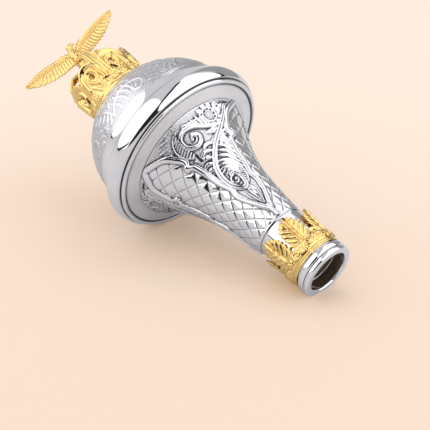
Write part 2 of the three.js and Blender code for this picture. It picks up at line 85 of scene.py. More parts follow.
@dataclass(frozen=True)
class LyingFrame:
    """Place and tilt of the lying head, from the mount at its mouth.

    Attributes:
        mouth: middle of the mouth's end face, in metres.
        onward: unit vector along the axis from the mouth to the eagle.
        upper: unit vector across the axis on the upper side.
        side: unit vector across both.
    """

    mouth: np.ndarray
    onward: np.ndarray
    upper: np.ndarray
    side: np.ndarray

    @classmethod
    def from_record(cls, record: dict, face_rise: float = 16.9) -> "LyingFrame":
        """Reads the frame from the mount named mouth_face.

        Args:
            record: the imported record.
            face_rise: distance of the mount's point from the axis, in millimetres.

        Returns:
            The frame of the lying head.
        """
        mount = next(m for m in record["mounts"] if m["name"] == "mouth_face")
        onward = -np.array(mount["axis"], float)
        onward /= np.linalg.norm(onward)
        side = np.array([0.0, 1.0, 0.0])
        upper = np.cross(side, onward)
        upper *= math.copysign(1.0, upper[2])
        mouth = np.array(mount["pos_m"], float) - upper * face_rise * MILLIMETRE
        return cls(mouth, onward, upper, side)

    def place(self, across: Grid, aside: Grid, height: Grid) -> Grid:
        """Lays upright points down: mouth + onward * height + upper * across + side * aside.

        Args:
            across: distances towards the upper side, in millimetres.
            aside: distances towards +Y, in millimetres.
            height: heights along the axis, in millimetres.

        Returns:
            Points in metres, with a last axis of 3.
        """
        parts = (np.asarray(height)[..., None] * self.onward + np.asarray(across)[..., None] * self.upper
                 + np.asarray(aside)[..., None] * self.side)
        return self.mouth + parts * MILLIMETRE

    def around(self, radius: Grid, angle: Grid, height: Grid) -> Grid:
        """Lays down points given by their distance from the axis, angle in degrees and height."""
        turn = np.radians(angle)
        return self.place(radius * np.cos(turn), radius * np.sin(turn), height)


def smooth(low: float, high: float, value: Grid) -> Grid:
    """Smooth step from 0 at low to 1 at high: 3t^2 - 2t^3."""
    t = np.clip((np.asarray(value, float) - low) / (high - low), 0.0, 1.0)
    return t * t * (3.0 - 2.0 * t)


def wrapped(angle: Grid, period: float = 360.0) -> Grid:
    """Brings angles into half a period on either side of zero."""
    return (np.asarray(angle) + period / 2.0) % period - period / 2.0


def crest(offset: Grid) -> Grid:
    """Round crest: (1 - offset^2)^0.5 while the offset is within one either way, 0 beyond."""
    return np.sqrt(np.clip(1.0 - np.asarray(offset) ** 2, 0.0, 1.0))


def soft_line(offset: Grid) -> Grid:
    """Soft line, 1 in its middle: e^(-offset^2)."""
    return np.exp(-(np.asarray(offset) ** 2))


def round_angles(count: int) -> Grid:
    """Angles of points spaced evenly round the axis, in degrees."""
    return np.arange(count) * 360.0 / count


def spoke(centre: Place, away: float, turn: float) -> Place:
    """Point at a distance from a centre, in a direction in radians."""
    return centre[0] + away * math.cos(turn), centre[1] + away * math.sin(turn)


def surface_length(*coordinates: Grid) -> Grid:
    """Length along a line up to each of its points, from the coordinates of the points."""
    steps = np.linalg.norm(np.diff(np.stack(coordinates), axis=1), axis=0)
    return np.concatenate([[0.0], np.cumsum(steps)])


def extended(points: Grid) -> Grid:
    """Adds a point straight beyond each end of a line, for the cubics of its end stretches."""
    return np.vstack([2 * points[0] - points[1], points, 2 * points[-1] - points[-2]])


def cubic(a: Grid, b: Grid, c: Grid, d: Grid, t: Grid) -> Grid:
    """Catmull-Rom cubic from b to c at shares t, which leaves b along c - a and meets c along d - b."""
    return 0.5 * (2 * b + (c - a) * t + (2 * a - 5 * b + 4 * c - d) * t**2 + (3 * b - a - 3 * c + d) * t**3)


def through(stations: Grid, count: int) -> Grid:
    """Spreads stations smoothly over rows, every column by Catmull-Rom cubics.

    Args:
        stations: one row of values for each station.
        count: number of rows wanted.

    Returns:
        The rows, with even steps of the station number.
    """
    ends = extended(np.asarray(stations, float))
    number = np.linspace(0.0, len(stations) - 1.000001, count)
    k = number.astype(int)
    return cubic(ends[k], ends[k + 1], ends[k + 2], ends[k + 3], (number - k)[:, None])


def spline(points: Route, spacing: float, steps: int = 25) -> Grid:
    """Samples a smooth curve through points, evenly along its length.

    Each stretch is a Catmull-Rom cubic, worked out for all stretches and steps at once.

    Args:
        points: the curve's points.
        spacing: distance between samples.
        steps: points worked out on each stretch before the even ones are read off.

    Returns:
        Samples as rows of two coordinates.
    """
    ends = extended(np.asarray(points, float))
    share = np.linspace(0.0, 1.0, steps)[None, :, None]
    line = cubic(*(ends[k:len(ends) - 3 + k][:, None, :] for k in range(4)), share).reshape(-1, 2)
    length = surface_length(*line.T)
    count = max(int(length[-1] / spacing), 4) + 1
    wanted = np.linspace(0.0, length[-1], count)
    return np.stack([np.interp(wanted, length, line[:, k]) for k in range(2)], axis=1)


@dataclass
class Relief:
    """A height field in millimetres on a surface grid, built up from strokes.

    Attributes:
        across: grid coordinate along the surface round the axis, in millimetres from its middle.
        along: grid coordinate along the surface up the axis, in millimetres.
        height: the raised height so far.
        ground: share of stippled ground at each point, 0 under any stroke.
    """

    across: Grid
    along: Grid
    height: Grid = field(init=False)
    ground: Grid = field(init=False)

    def __post_init__(self) -> None:
        """Starts flat, with bare ground all over."""
        self.height = np.zeros(self.across.shape)
        self.ground = np.ones(self.across.shape)

    def distance(self, line: Grid, reach: float) -> tuple[Grid, Grid, Grid]:
        """Distances to a sampled line of [across, along] points.

        Args:
            line: samples of the line in millimetres.
            reach: greatest distance of interest.

        Returns:
            Flat indices of the grid points within reach of the line's box, their distance to it,
            and the share of the line's length at their nearest sample.
        """
        low, high = line.min(0) - reach, line.max(0) + reach
        near = np.flatnonzero((self.across > low[0]) & (self.across < high[0])
                              & (self.along > low[1]) & (self.along < high[1]))
        points = np.stack([self.across.ravel()[near], self.along.ravel()[near]], axis=1)
        gap = ((points[:, None, :] - line[None, :, :]) ** 2).sum(-1)
        nearest = gap.argmin(1)
        return near, np.sqrt(gap[np.arange(near.size), nearest]), nearest / max(len(line) - 1, 1)

    def stroke(self, route: Route, width: float, height: float, taper: float = 0.5,
               groove: float = 0.0, spacing: float = 0.5) -> None:
        """Raises a rounded stroke along a route: height * (1 - (d / half width)^2)^0.5.

        Args:
            route: [across, along] points in millimetres.
            width: full width in the middle of the stroke.
            height: raised height on its middle line.
            taper: how far the width shrinks towards the ends, 0 for not at all.
            groove: depth of a thin line cut along the middle.
            spacing: distance between samples of the route.
        """
        near, gap, share = self.distance(spline(route, spacing), width)
        from_middle = np.abs(2.0 * share - 1.0)
        half = width / 2.0 * (1.0 - taper * from_middle**2)
        shape = crest(gap / half)
        raised = height * shape * (1.0 - 0.35 * taper * from_middle)
        raised -= groove * soft_line(gap / (0.12 * width)) * (shape > 0.2)
        heights, bare = self.height.reshape(-1), self.ground.reshape(-1)
        heights[near] = np.maximum(heights[near], np.where(shape > 0.0, raised, -np.inf))
        bare[near] = np.minimum(bare[near], smooth(0.9, 1.25, gap / half))

    def cut(self, route: Route, width: float, depth: float, taper: float = 0.6) -> None:
        """Cuts a rounded groove along a route: depth * e^(-1.6 * (d / half width)^2).

        Args:
            route: [across, along] points in millimetres.
            width: full width in the middle of the groove.
            depth: depth below what is there.
            taper: how far the width shrinks towards the ends, 0 for not at all.
        """
        near, gap, share = self.distance(spline(route, 0.4), width)
        half = width / 2.0 * (1.0 - taper * np.abs(2.0 * share - 1.0) ** 2)
        self.height.reshape(-1)[near] -= depth * np.exp(-((gap / half) ** 2) * 1.6)

    def leaf(self, root: Place, tip: Place, width: float, height: float, lobes: int = 4,
             bend: float = 0.0) -> None:
        """Raises a lobed leaf with a cut midrib from its root to its tip.

        The outline's half width is width / 2 * sin(pi * share^0.7) with a scalloped edge, and the
        surface rises from the edge to the midrib, with side veins cut between the lobes.

        Args:
            root: [across, along] of the leaf's foot.
            tip: [across, along] of its tip.
            width: greatest width.
            height: raised height beside the midrib.
            lobes: number of scallops on each edge.
            bend: sideways bulge of the midrib as a share of the leaf's length.
        """
        start, end = np.asarray(root, float), np.asarray(tip, float)
        run = end - start
        length = float(np.hypot(*run))
        ahead = run / length
        aside = np.array([-ahead[1], ahead[0]])
        dx, dy = self.across - start[0], self.along - start[1]
        share = (dx * ahead[0] + dy * ahead[1]) / length
        off = dx * aside[0] + dy * aside[1] - bend * length * np.sin(np.pi * np.clip(share, 0, 1))
        inside = (share > 0.0) & (share < 1.0)
        safe = np.clip(share, 1e-4, 1.0)
        scallop = 1.0 - 0.22 * np.abs(np.sin(np.pi * lobes * safe))
        half = width / 2.0 * np.sin(np.pi * safe**0.7) * scallop + 1e-6
        edge = np.abs(off) / half
        body = np.where(inside & (edge < 1.0), (1.0 - edge**2.2) ** 0.5, 0.0)
        veins = 0.28 * np.cos(2.0 * np.pi * (lobes * safe + 1.1 * np.abs(off) / width))
        raised = height * body * (0.82 + veins * np.clip(edge, 0, 1))
        raised -= 0.55 * height * soft_line(off / (0.09 * width)) * (body > 0.05)
        self.height = np.where(body > 0.03, np.maximum(self.height, raised), self.height)
        self.ground = np.where(body > 0.03, np.minimum(self.ground, 1.0 - smooth(0.0, 0.4, body)),
                               self.ground)

    def volute(self, centre: Place, start: float, radius: float, turns: float, width: float,
               height: float) -> None:
        """Raises a spiral that rolls in from radius to a round eye.

        The route is radius * (1 - share)^0.85 at an angle that grows evenly by the turns.

        Args:
            centre: [across, along] of the eye.
            start: angle of the outer end in degrees.
            radius: distance of the outer end from the eye.
            turns: number of turns.
            width: stroke width at the outer end.
            height: raised height.
        """
        share = np.linspace(0.0, 0.9, 40)
        angle = np.radians(start) + 2.0 * np.pi * turns * share
        reach = radius * (1.0 - share) ** 0.85
        route = np.stack([centre[0] + reach * np.cos(angle), centre[1] + reach * np.sin(angle)], axis=1)
        self.stroke(route[::3], width, height, taper=0.35, groove=0.25 * height)
        self.boss(centre, 0.26 * radius, height)

    def boss(self, centre: Place, radius: float, height: float) -> None:
        """Raises a round button: height * (1 - (d / radius)^2)^0.5."""
        gap = np.hypot(self.across - centre[0], self.along - centre[1])
        raised = np.maximum(self.height, height * crest(gap / radius))
        self.height = np.where(gap < radius, raised, self.height)
        self.ground = np.where(gap < radius, 0.0, self.ground)


def recess_of(height: Grid, depth: float, reach: int) -> Grid:
    """Share of painted shade in the hollows of a relief, from 0 on its crests to 1.

    The height is compared with its own running mean over a square of reach points each way, by
    summed rows and columns, so shade is painted into a groove and a crest stays bright.

    Args:
        height: the relief, with columns that close on themselves.
        depth: fall below the mean that counts as full shade.
        reach: half the width of the square, in points.

    Returns:
        The shade at each point.
    """
    size = 2 * reach + 1
    padded = np.pad(np.pad(height, ((reach, reach), (0, 0)), mode="edge"), ((0, 0), (reach, reach)),
                    mode="wrap")
    total = np.pad(padded, ((1, 0), (1, 0))).cumsum(0).cumsum(1)
    mean = (total[size:, size:] - total[:-size, size:] - total[size:, :-size]
            + total[:-size, :-size]) / size**2
    return np.clip((mean - height) / depth, 0.0, 1.0)


class PieceMaker:
    """Turns grids of points into pieces that ride on the frame."""

    def __init__(self, body: str = "root") -> None:
        """Keeps the name of the body that every piece rides on."""
        self.body = body

    def mesh(self, name: str, points: Grid, faces: Grid, recess_shade: Grid,
             ground: Optional[Grid] = None) -> bpy.types.Object:
        """Makes a smooth mesh object from points and quads, with its two point attributes.

        Args:
            name: name of the piece.
            points: points in metres, on any number of axes and a last one of 3.
            faces: four point numbers a row.
            recess_shade: painted shade of each point, from 0 on the crests to 1 in the hollows.
            ground: share of satin or punched ground at each point, none if left out.

        Returns:
            The new object, linked to the scene.
        """
        data = bpy.data.meshes.new(name)
        data.vertices.add(points.size // 3)
        data.vertices.foreach_set("co", np.ascontiguousarray(points, np.float32).ravel())
        size = faces.shape[1]
        data.loops.add(faces.size)
        data.loops.foreach_set("vertex_index", np.ascontiguousarray(faces, np.int32).ravel())
        data.polygons.add(len(faces))
        data.polygons.foreach_set("loop_start", np.arange(0, faces.size, size, dtype=np.int32))
        data.update(calc_edges=True)
        data.validate()
        data.polygons.foreach_set("use_smooth", np.ones(len(data.polygons), bool))
        for key, values in (("recess_shade", recess_shade), ("ground", 0.0 * recess_shade if ground is None else ground)):
            layer = data.attributes.new(key, "FLOAT", "POINT")
            layer.data.foreach_set("value", np.ascontiguousarray(values, np.float32).ravel())
        piece = bpy.data.objects.new(name, data)
        bpy.context.scene.collection.objects.link(piece)
        return piece

    def grid_faces(self, rows: int, columns: int, seam: Seam) -> Grid:
        """Quads of a grid of points whose columns run on side by side.

        Args:
            rows: rows of points.
            columns: points in a row.
            seam: ROUND joins the last column to the first.

        Returns:
            Four point numbers a row.
        """
        last = columns if seam is Seam.ROUND else columns - 1
        row, column = np.meshgrid(np.arange(rows - 1), np.arange(last), indexing="ij")
        beside = (column + 1) % columns
        quads = np.stack([row * columns + column, row * columns + beside,
                          (row + 1) * columns + beside, (row + 1) * columns + column], axis=-1)
        return quads.reshape(-1, 4)

    def finish(self, piece: bpy.types.Object, plating: "Plating", *nodes: str) -> None:
        """Dresses a piece, lets it ride on its body and hides the nodes of the solids that it replaces.

        Args:
            piece: the piece's object.
            plating: its finish.
            nodes: nodes of the solids that it replaces.
        """
        piece.data.materials.append(plating.material())
        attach(piece, self.body)
        if nodes:
            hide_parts(*nodes)
        LOG.info("%s: %d faces", piece.name, len(piece.data.polygons))


def outward(piece: bpy.types.Object) -> bpy.types.Object:
    """Turns a piece's faces outwards if its signed volume, a sum of a . (b x c), is negative.

    Args:
        piece: a piece that is closed or nearly so.

    Returns:
        The same piece.
    """
    data = piece.data
    co = np.empty(len(data.vertices) * 3, np.float32)
    data.vertices.foreach_get("co", co)
    co = co.reshape(-1, 3)
    data.calc_loop_triangles()
    index = np.empty(len(data.loop_triangles) * 3, np.int32)
    data.loop_triangles.foreach_get("vertices", index)
    a, b, c = co[index.reshape(-1, 3)].transpose(1, 0, 2)
    if float(np.einsum("ij,ij->i", a, np.cross(b, c)).sum()) < 0.0:
        data.flip_normals()
    return piece


class Wire:
    """A shader socket with arithmetic, so that shader maths reads as an expression."""

    def __init__(self, tree: "Tree", socket: Optional[bpy.types.NodeSocket]) -> None:
        """Keeps the tree that new nodes go into and the socket."""
        self.tree = tree
        self.socket = socket

    def _math(self, operation: str, *values: "Wire | float") -> "Wire":
        """Adds one Math node on this wire and other values."""
        return self.tree.node("ShaderNodeMath", {"operation": operation}, dict(enumerate(values)))

    def __add__(self, other: "Wire | float") -> "Wire":
        """Sum."""
        return self._math("ADD", self, other)

    def __radd__(self, other: float) -> "Wire":
        """Sum with the number first."""
        return self._math("ADD", other, self)

    def __sub__(self, other: "Wire | float") -> "Wire":
        """Difference."""
        return self._math("SUBTRACT", self, other)

    def __rsub__(self, other: float) -> "Wire":
        """Difference with the number first."""
        return self._math("SUBTRACT", other, self)

    def __mul__(self, other: "Wire | float") -> "Wire":
        """Product."""
        return self._math("MULTIPLY", self, other)

    def __rmul__(self, other: float) -> "Wire":
        """Product with the number first."""
        return self._math("MULTIPLY", other, self)

    def at_most(self, other: "Wire | float") -> "Wire":
        """The smaller of the two."""
        return self._math("MINIMUM", self, other)

    def at_least(self, other: "Wire | float") -> "Wire":
        """The larger of the two."""
        return self._math("MAXIMUM", self, other)

    def size(self) -> "Wire":
        """Absolute value."""
        return self._math("ABSOLUTE", self)

    def ramp(self, low: float, high: float) -> "Wire":
        """Smooth step of this value from 0 at low to 1 at high."""
        return self.tree.node("ShaderNodeMapRange", {"interpolation_type": "SMOOTHSTEP"},
                              {"Value": self, "From Min": low, "From Max": high}, "Result")


class Tree:
    """Adds nodes to a shader tree."""

    def __init__(self, nodes: bpy.types.NodeTree) -> None:
        """Starts from an empty tree."""
        self.nodes = nodes
        nodes.nodes.clear()

    def node(self, kind: str, settings: Optional[dict] = None, inputs: Optional[dict] = None,
             output: "str | int" = 0) -> Wire:
        """Adds any node and returns one of its outputs.

        Args:
            kind: the node's type.
            settings: attributes that are set first.
            inputs: values or wires by socket name or number.
            output: name or number of the output wanted.

        Returns:
            The output as a wire.
        """
        made = self.nodes.nodes.new(kind)
        for key, value in (settings or {}).items():
            setattr(made, key, value)
        for key, value in (inputs or {}).items():
            if isinstance(value, Wire):
                self.nodes.links.new(value.socket, made.inputs[key])
            else:
                made.inputs[key].default_value = value
        return Wire(self, made.outputs[output] if len(made.outputs) else None)

    def attribute(self, name: str) -> Wire:
        """Value of a mesh attribute."""
        return self.node("ShaderNodeAttribute", {"attribute_name": name}, output="Fac")

    def blend(self, share: "Wire | float", first: object, second: object) -> Wire:
        """Colour between first and second."""
        return self.node("ShaderNodeMix", {"data_type": "RGBA"}, {0: share, 6: first, 7: second}, 2)

    def reach(self, ray: Wire, way: Sequence[float]) -> Wire:
        """How far a ray reaches in a direction: their dot product."""
        return self.node("ShaderNodeVectorMath", {"operation": "DOT_PRODUCT"}, {0: ray, 1: tuple(way)},
                         "Value")


def rgba(colour: Colour) -> tuple[float, float, float, float]:
    """A colour with full alpha."""
    return (*colour, 1.0)


@dataclass(frozen=True)
class Plating:
    """A polished metal with shade painted into its colour in the recesses.

    Attributes:
        name: name of the material.
        slot: material slot of the record, not used.
        crest: colour of the polished metal.
        shade_and_tarnish: colour of the shade painted in the recesses, also used for the broad tarnish
            patches.
        roughness: roughness of the crests.
        hollow_roughness: roughness in the recesses.
        stipple: depth of the punched ground in metres, 0 for none.
        stipple_scale: punch marks for each metre.
        waviness: depth of the soft unevenness of the polish in metres.
        satin: roughness added where the ground attribute is 1.
        metal: share of metal, less than 1 for a dull dark surface.
        cloud_scale: broad patches of uneven polish for each metre.
        grain_scale: fine scratches of the polish for each metre.
        tarnish: share of the hollow colour in the broad patches.
        punch_shade: shade in a punch mark.
    """

    name: str
    slot: Slot
    crest: Colour
    shade_and_tarnish: Colour
    roughness: float
    hollow_roughness: float
    stipple: float = 0.0
    stipple_scale: float = 1400.0
    waviness: float = 0.00002
    satin: float = 0.0
    metal: float = 1.0
    cloud_scale: float = 45.0
    grain_scale: float = 900.0
    tarnish: float = 0.12
    punch_shade: float = 0.35

    def material(self) -> bpy.types.Material:
        """Builds the material: shade is painted into the colour where the recess attribute and the
        punch marks call for it, the roughness follows the same share, and bumps add the punched ground
        and the unevenness of the polish."""
        made = bpy.data.materials.new(self.name)
        made.use_nodes = True
        tree = Tree(made.node_tree)
        place = tree.node("ShaderNodeTexCoord", output="Object")
        recess_shade = tree.attribute("recess_shade")
        ground = tree.attribute("ground")
        broad = tree.node("ShaderNodeTexNoise",
                          inputs={"Vector": place, "Scale": self.cloud_scale, "Detail": 3.0})
        fine = tree.node("ShaderNodeTexNoise",
                         inputs={"Vector": place, "Scale": self.grain_scale, "Detail": 4.0})
        punch = tree.node("ShaderNodeTexVoronoi", {"feature": "F1"},
                          {"Vector": place, "Scale": self.stipple_scale}, "Distance")
        marks = ground * punch.ramp(0.15, 0.55)
        shade = (recess_shade + marks * (self.punch_shade if self.stipple > 0.0 else 0.0)).at_most(1.0)
        # Painted shade: the colour goes over to the hollow colour as the shade grows.
        colour = tree.blend(shade, rgba(self.crest), rgba(self.shade_and_tarnish))
        worn = tree.blend(broad.ramp(0.35, 0.75) * self.tarnish, colour, rgba(self.shade_and_tarnish))
        gloss = (self.roughness + shade * (self.hollow_roughness - self.roughness)
                 + (fine - 0.5) * 0.03 + (broad - 0.5) * 0.02 + ground * self.satin)
        height = broad * self.waviness + marks * (-self.stipple)
        bump = tree.node("ShaderNodeBump", inputs={"Strength": 1.0, "Distance": 1.0, "Height": height})
        metal = tree.node("ShaderNodeBsdfPrincipled", inputs={
            "Base Color": worn, "Metallic": self.metal, "Roughness": gloss, "Normal": bump})
        tree.node("ShaderNodeOutputMaterial", inputs={"Surface": metal})
        return made


# The fourth colour of each plating is the colour of the shade painted in its recesses.
SILVER_EMBOSSED = Plating("silver_embossed", Slot.EMBOSSED, (0.88, 0.88, 0.90), (0.055, 0.055, 0.065),
                          0.10, 0.32, stipple=0.00016, stipple_scale=1150.0, satin=0.10)
SILVER_POLISHED = Plating("silver_polished", Slot.POLISHED, (0.90, 0.90, 0.92), (0.05, 0.05, 0.06),
                          0.045, 0.12, waviness=0.000008, satin=0.42)
GILT_CAST = Plating("gilt_cast", Slot.GILT, (1.0, 0.72, 0.28), (0.50, 0.17, 0.015), 0.11, 0.26)
BORE_DARK = Plating("bore_turned", Slot.POLISHED, (0.42, 0.33, 0.23), (0.10, 0.085, 0.07), 0.34, 0.55,
                    metal=0.55)


@dataclass
class HeadSizes:
    """Sizes of the head in millimetres, as the solids have them: lengths and heights first, then
    radii, and the gap that the solids leave at a joint."""

    ring_length: float = 8.8
    band_length: float = 35.0
    neck_length: float = 85.1
    rim_thickness: float = 28.7
    dome_drop: float = 4.5
    dome_height: float = 50.4
    crown_height: float = 48.0
    bore_depth: float = 62.0
    bore: float = 14.6
    mouth_face: float = 18.4
    ring: float = 19.6
    band: float = 17.6
    band_end: float = 18.2
    neck_base: float = 46.5
    disc: float = 56.0
    rim: float = 62.6
    dome: float = 55.2
    crown: float = 24.0
    joint_gap: float = 0.3

    @property
    def band_top(self) -> float:
        """Height where the plain band ends."""
        return self.ring_length + self.band_length

    @property
    def neck_top(self) -> float:
        """Height where the neck meets the rim."""
        return self.band_top + self.neck_length

    @property
    def rim_top(self) -> float:
        """Height where the rim meets the dome."""
        return self.neck_top + self.rim_thickness

    @property
    def dome_centre(self) -> float:
        """Height of the dome's widest circle."""
        return self.rim_top - self.dome_drop

    @property
    def crown_base(self) -> float:
        """Height where the crown's circlet meets the dome."""
        return self.dome_centre + self.dome_height * math.sqrt(1.0 - (self.crown / self.dome) ** 2)

    @property
    def crown_top(self) -> float:
        """Height of the boss under the eagle."""
        return self.crown_base + self.crown_height


@dataclass
class Part:
    """Base of every part of the head.

    Attributes:
        frame: the lying frame.
        maker: makes the meshes.
        sizes: the head's sizes.
    """

    frame: LyingFrame
    maker: PieceMaker
    sizes: HeadSizes = field(default_factory=HeadSizes)


@dataclass
class TurnedWork(Part):
    """Base of a part with pieces turned about the axis from a profile."""

    def turn(self, name: str, profile: Grid, columns: int, recess_shade: Grid,
             satin: Optional[Grid] = None) -> bpy.types.Object:
        """Carries a closed profile of [radius, height] rows round the axis, flattened at the floor
        as the solids are.

        Args:
            name: name of the piece.
            profile: the profile's points, of which the last is joined to the first.
            columns: points round the axis.
            recess_shade: painted shade for each profile point.
            satin: share of satin finish for each profile point, none if left out.

        Returns:
            The piece's object.
        """
        radius, height = (np.repeat(part[:, None], columns, axis=1) for part in profile.T)
        points = self.frame.around(radius, round_angles(columns)[None, :], height)
        points[..., 2] = np.maximum(points[..., 2], 0.0)
        faces = self.maker.grid_faces(len(profile) + 1, columns, Seam.ROUND) % radius.size
        matt = np.zeros(len(profile)) if satin is None else satin
        return outward(self.maker.mesh(name, points, faces, np.repeat(recess_shade, columns),
                                       np.repeat(matt, columns)))


def arc(start: Place, end: Place, bulge: float, steps: int) -> Grid:
    """Points of a round moulding: a half ellipse on the chord from start to end.

    The share along the chord is (1 - cos a) / 2 and the height over it bulge * sin a.

    Args:
        start: [radius, height] of its foot.
        end: [radius, height] of its other foot.
        bulge: height over the chord, to the right of the way from start to end.
        steps: number of stretches.

    Returns:
        Rows of [radius, height].
    """
    turn = np.linspace(0.0, np.pi, steps + 1)
    first, run = np.asarray(start, float), np.asarray(end, float) - np.asarray(start, float)
    normal = np.array([run[1], -run[0]]) / np.hypot(*run)
    share = (1.0 - np.cos(turn)) / 2.0
    return first + share[:, None] * run + bulge * np.sin(turn)[:, None] * normal


def resampled(profile: Grid, spacing: float) -> Grid:
    """Splits a profile's stretches evenly so that none is longer than spacing.

    Args:
        profile: rows of [radius, height].
        spacing: greatest distance between two rows.

    Returns:
        The old rows with the new ones between them.
    """
    parts = [profile[:1]]
    for low, high in zip(profile[:-1], profile[1:]):
        count = max(int(np.ceil(np.hypot(*(high - low)) / spacing)), 1)
        share = (np.arange(count) + 1.0)[:, None] / count
        parts.append(low + share * (high - low))
    return np.vstack(parts)


@dataclass
class Rim(TurnedWork):
    """Polished rim: disc, bead, bold moulding and the flared band below the dome.

    The disc's edge lies disc_rise over the end of the neck, and its satin finish ends within
    satin_edge on either side of it. The flare is how far the band's foot stands out.
    """

    disc_rise: float = 2.9
    bead: float = 1.6
    step: float = 0.4
    bulge: float = 3.9
    band: float = 9.4
    flare: float = 2.9
    satin_edge: float = 0.2
    columns: int = 320

    def profile(self) -> Grid:
        """Profile of the rim from the neck outwards and up to the dome."""
        s = self.sizes
        edge = s.neck_top + self.disc_rise
        bead_top = edge + self.bead
        bulge_top = s.rim_top - self.band
        foot = s.rim - self.bulge
        share = np.linspace(0.0, 1.0, 26)
        flared = np.stack([s.dome + 0.4 + self.flare * (1.0 - share) ** 1.8,
                           bulge_top + self.step + share * (self.band - self.step - s.joint_gap)], axis=1)
        parts = [
            [[s.neck_base + 0.7, s.neck_top + s.joint_gap]],
            [[s.disc - 0.9, edge - 0.1], [s.disc - 0.3, edge + 0.7]],
            arc((s.disc + 0.4, edge), (foot + self.step, bead_top), 1.3, 12),
            [[foot + self.step - 0.1, bead_top + 0.25]],
            arc((foot + self.step, bead_top + self.step), (foot - self.step, bulge_top),
                self.bulge - 0.05, 44),
            [[foot - self.step - 0.5, bulge_top + 0.25]],
            flared,
            [[s.dome - 6.0, s.rim_top - s.joint_gap],
             [s.neck_base - 6.0, s.neck_top + s.joint_gap + 4.0],
             [s.neck_base - 6.0, s.neck_top + s.joint_gap]],
        ]
        return resampled(np.vstack([np.asarray(part, float) for part in parts]), 1.1)

    def shade(self, profile: Grid) -> Grid:
        """Painted shade in the grooves beside the bead and above the moulding, at each profile point;
        at the disc's edge it also stands for a painted dark reflection.
        """
        s = self.sizes
        edge = s.neck_top + self.disc_rise
        grooves = [(s.disc, edge + 0.35), (s.rim - self.bulge + self.step, edge + self.bead + 0.2),
                   (s.rim - self.bulge - self.step - 0.4, s.rim_top - self.band + 0.2)]
        dark = np.zeros(len(profile))
        for radius, height in grooves:
            gap = np.hypot(profile[:, 0] - radius, profile[:, 1] - height)
            dark = np.maximum(dark, np.minimum(1.5 * soft_line(gap / 0.75), 1.0))
        return dark

    def build(self) -> None:
        """Makes the rim in one piece."""
        s = self.sizes
        profile = self.profile()
        edge = s.neck_top + self.disc_rise
        disc = smooth(edge + self.satin_edge, edge - self.satin_edge, profile[:, 1])
        disc = disc * (profile[:, 0] > s.neck_base)
        piece = self.turn("rim", profile, self.columns, self.shade(profile), disc)
        self.maker.finish(piece, SILVER_POLISHED, "flange")


@dataclass
class SocketRing(TurnedWork):
    """Polished ring at the mouth, with the turned bore behind it.

    The wall is the gap between the bore's lining and the solid, and line_pitch the distance from
    one turning line of the bore to the next.
    """

    end_moulding: float = 3.5
    end_bulge: float = 0.9
    ring_bulge: float = 1.2
    wall: float = 0.12
    line_pitch: float = 2.1
    columns: int = 192
    bore_columns: int = 72

    def profile(self) -> Grid:
        """Profile of the ring from inside the mouth, over the end face and the two mouldings."""
        s = self.sizes
        foot = s.ring - self.ring_bulge
        lip = arc((s.bore + 0.75, 0.0), (s.mouth_face - 0.2, 0.0), 0.0, 10)
        return resampled(np.vstack([
            [[s.bore, s.ring_length], [s.bore, 1.2], [s.bore + 0.2, 0.5]], lip,
            arc((s.mouth_face, 0.2), (s.mouth_face + 0.2, self.end_moulding), self.end_bulge, 16),
            [[s.mouth_face + 0.05, self.end_moulding + 0.2]],
            arc((s.mouth_face + 0.2, self.end_moulding + 0.4), (foot, s.ring_length - 0.2),
                self.ring_bulge, 20),
            [[foot - 0.2, s.ring_length]]]), 0.7)

    def build(self) -> None:
        """Makes the ring and the bore's lining."""
        profile = self.profile()
        # Painted shade along the groove between the end moulding and the ring's moulding.
        groove = np.hypot(profile[:, 0] - self.sizes.mouth_face - 0.1,
                          profile[:, 1] - self.end_moulding - 0.2)
        piece = self.turn("socket_ring_polished", profile, self.columns, soft_line(groove / 0.35))
        self.maker.finish(piece, SILVER_POLISHED, "socket_ring")
        self.lining()

    def lining(self) -> None:
        """Makes the bore's lining: a thin tube with turning lines and a closed end.

        The lines are a fine wave of the radius along the height, and painted shade grows inwards: it
        marks the lines and darkens the closed end.
        """
        s = self.sizes
        height = np.linspace(s.ring_length + 0.4, s.bore_depth, 200)
        wave = self.wall * np.sin(2.0 * np.pi * height / self.line_pitch) ** 5
        wall = np.stack([s.bore - self.wall + wave, height], axis=1)
        end = np.stack([np.linspace(s.bore - 0.2, 0.05, 12), np.full(12, s.bore_depth - 0.1)], axis=1)
        back = [[0.05, s.bore_depth], [s.bore + 0.1, s.bore_depth], [s.bore + 0.1, s.ring_length + 0.4]]
        profile = np.vstack([wall, end, back])
        # Painted shade, deeper the further inwards a point of the lining lies.
        shade = np.clip(0.5 - 4.0 * (profile[:, 0] - s.bore + self.wall), 0.0, 1.0)
        piece = self.turn("socket_bore", profile, self.bore_columns, shade)
        self.maker.finish(piece, BORE_DARK)


@dataclass
class PanelPen:
    """Draws on one panel of the neck, at places of [share of the neck's height, degrees from the
    panel's middle].

    Attributes:
        relief: the relief of the panel's third of the neck.
        at: turns a share and an angle into [across, along] millimetres.
    """

    relief: Relief
    at: Callable[[float, float], Place]

    def stroke(self, places: Route, width: float, height: float, **shape: float) -> None:
        """Raises a rounded stroke through places."""
        self.relief.stroke([self.at(*place) for place in places], width, height, **shape)

    def cut(self, places: Route, width: float, depth: float, taper: float = 0.6) -> None:
        """Cuts a groove through places."""
        self.relief.cut([self.at(*place) for place in places], width, depth, taper)

    def plumes(self, roots: Route, tips: Route, width: float, height: float, bend: float) -> None:
        """Raises a grooved plume from each root to its tip.

        Args:
            roots: place of each root.
            tips: place of each tip.
            width: width in the middle of a plume.
            height: raised height.
            bend: how far the middle lies further up than halfway, as a share of the neck's height.
        """
        for root, tip in zip(roots, tips):
            middle = ((root[0] + tip[0]) / 2.0 + bend, (root[1] + tip[1]) / 2.0)
            self.stroke([root, middle, tip], width, height, taper=0.75, groove=0.22 * height, spacing=0.4)


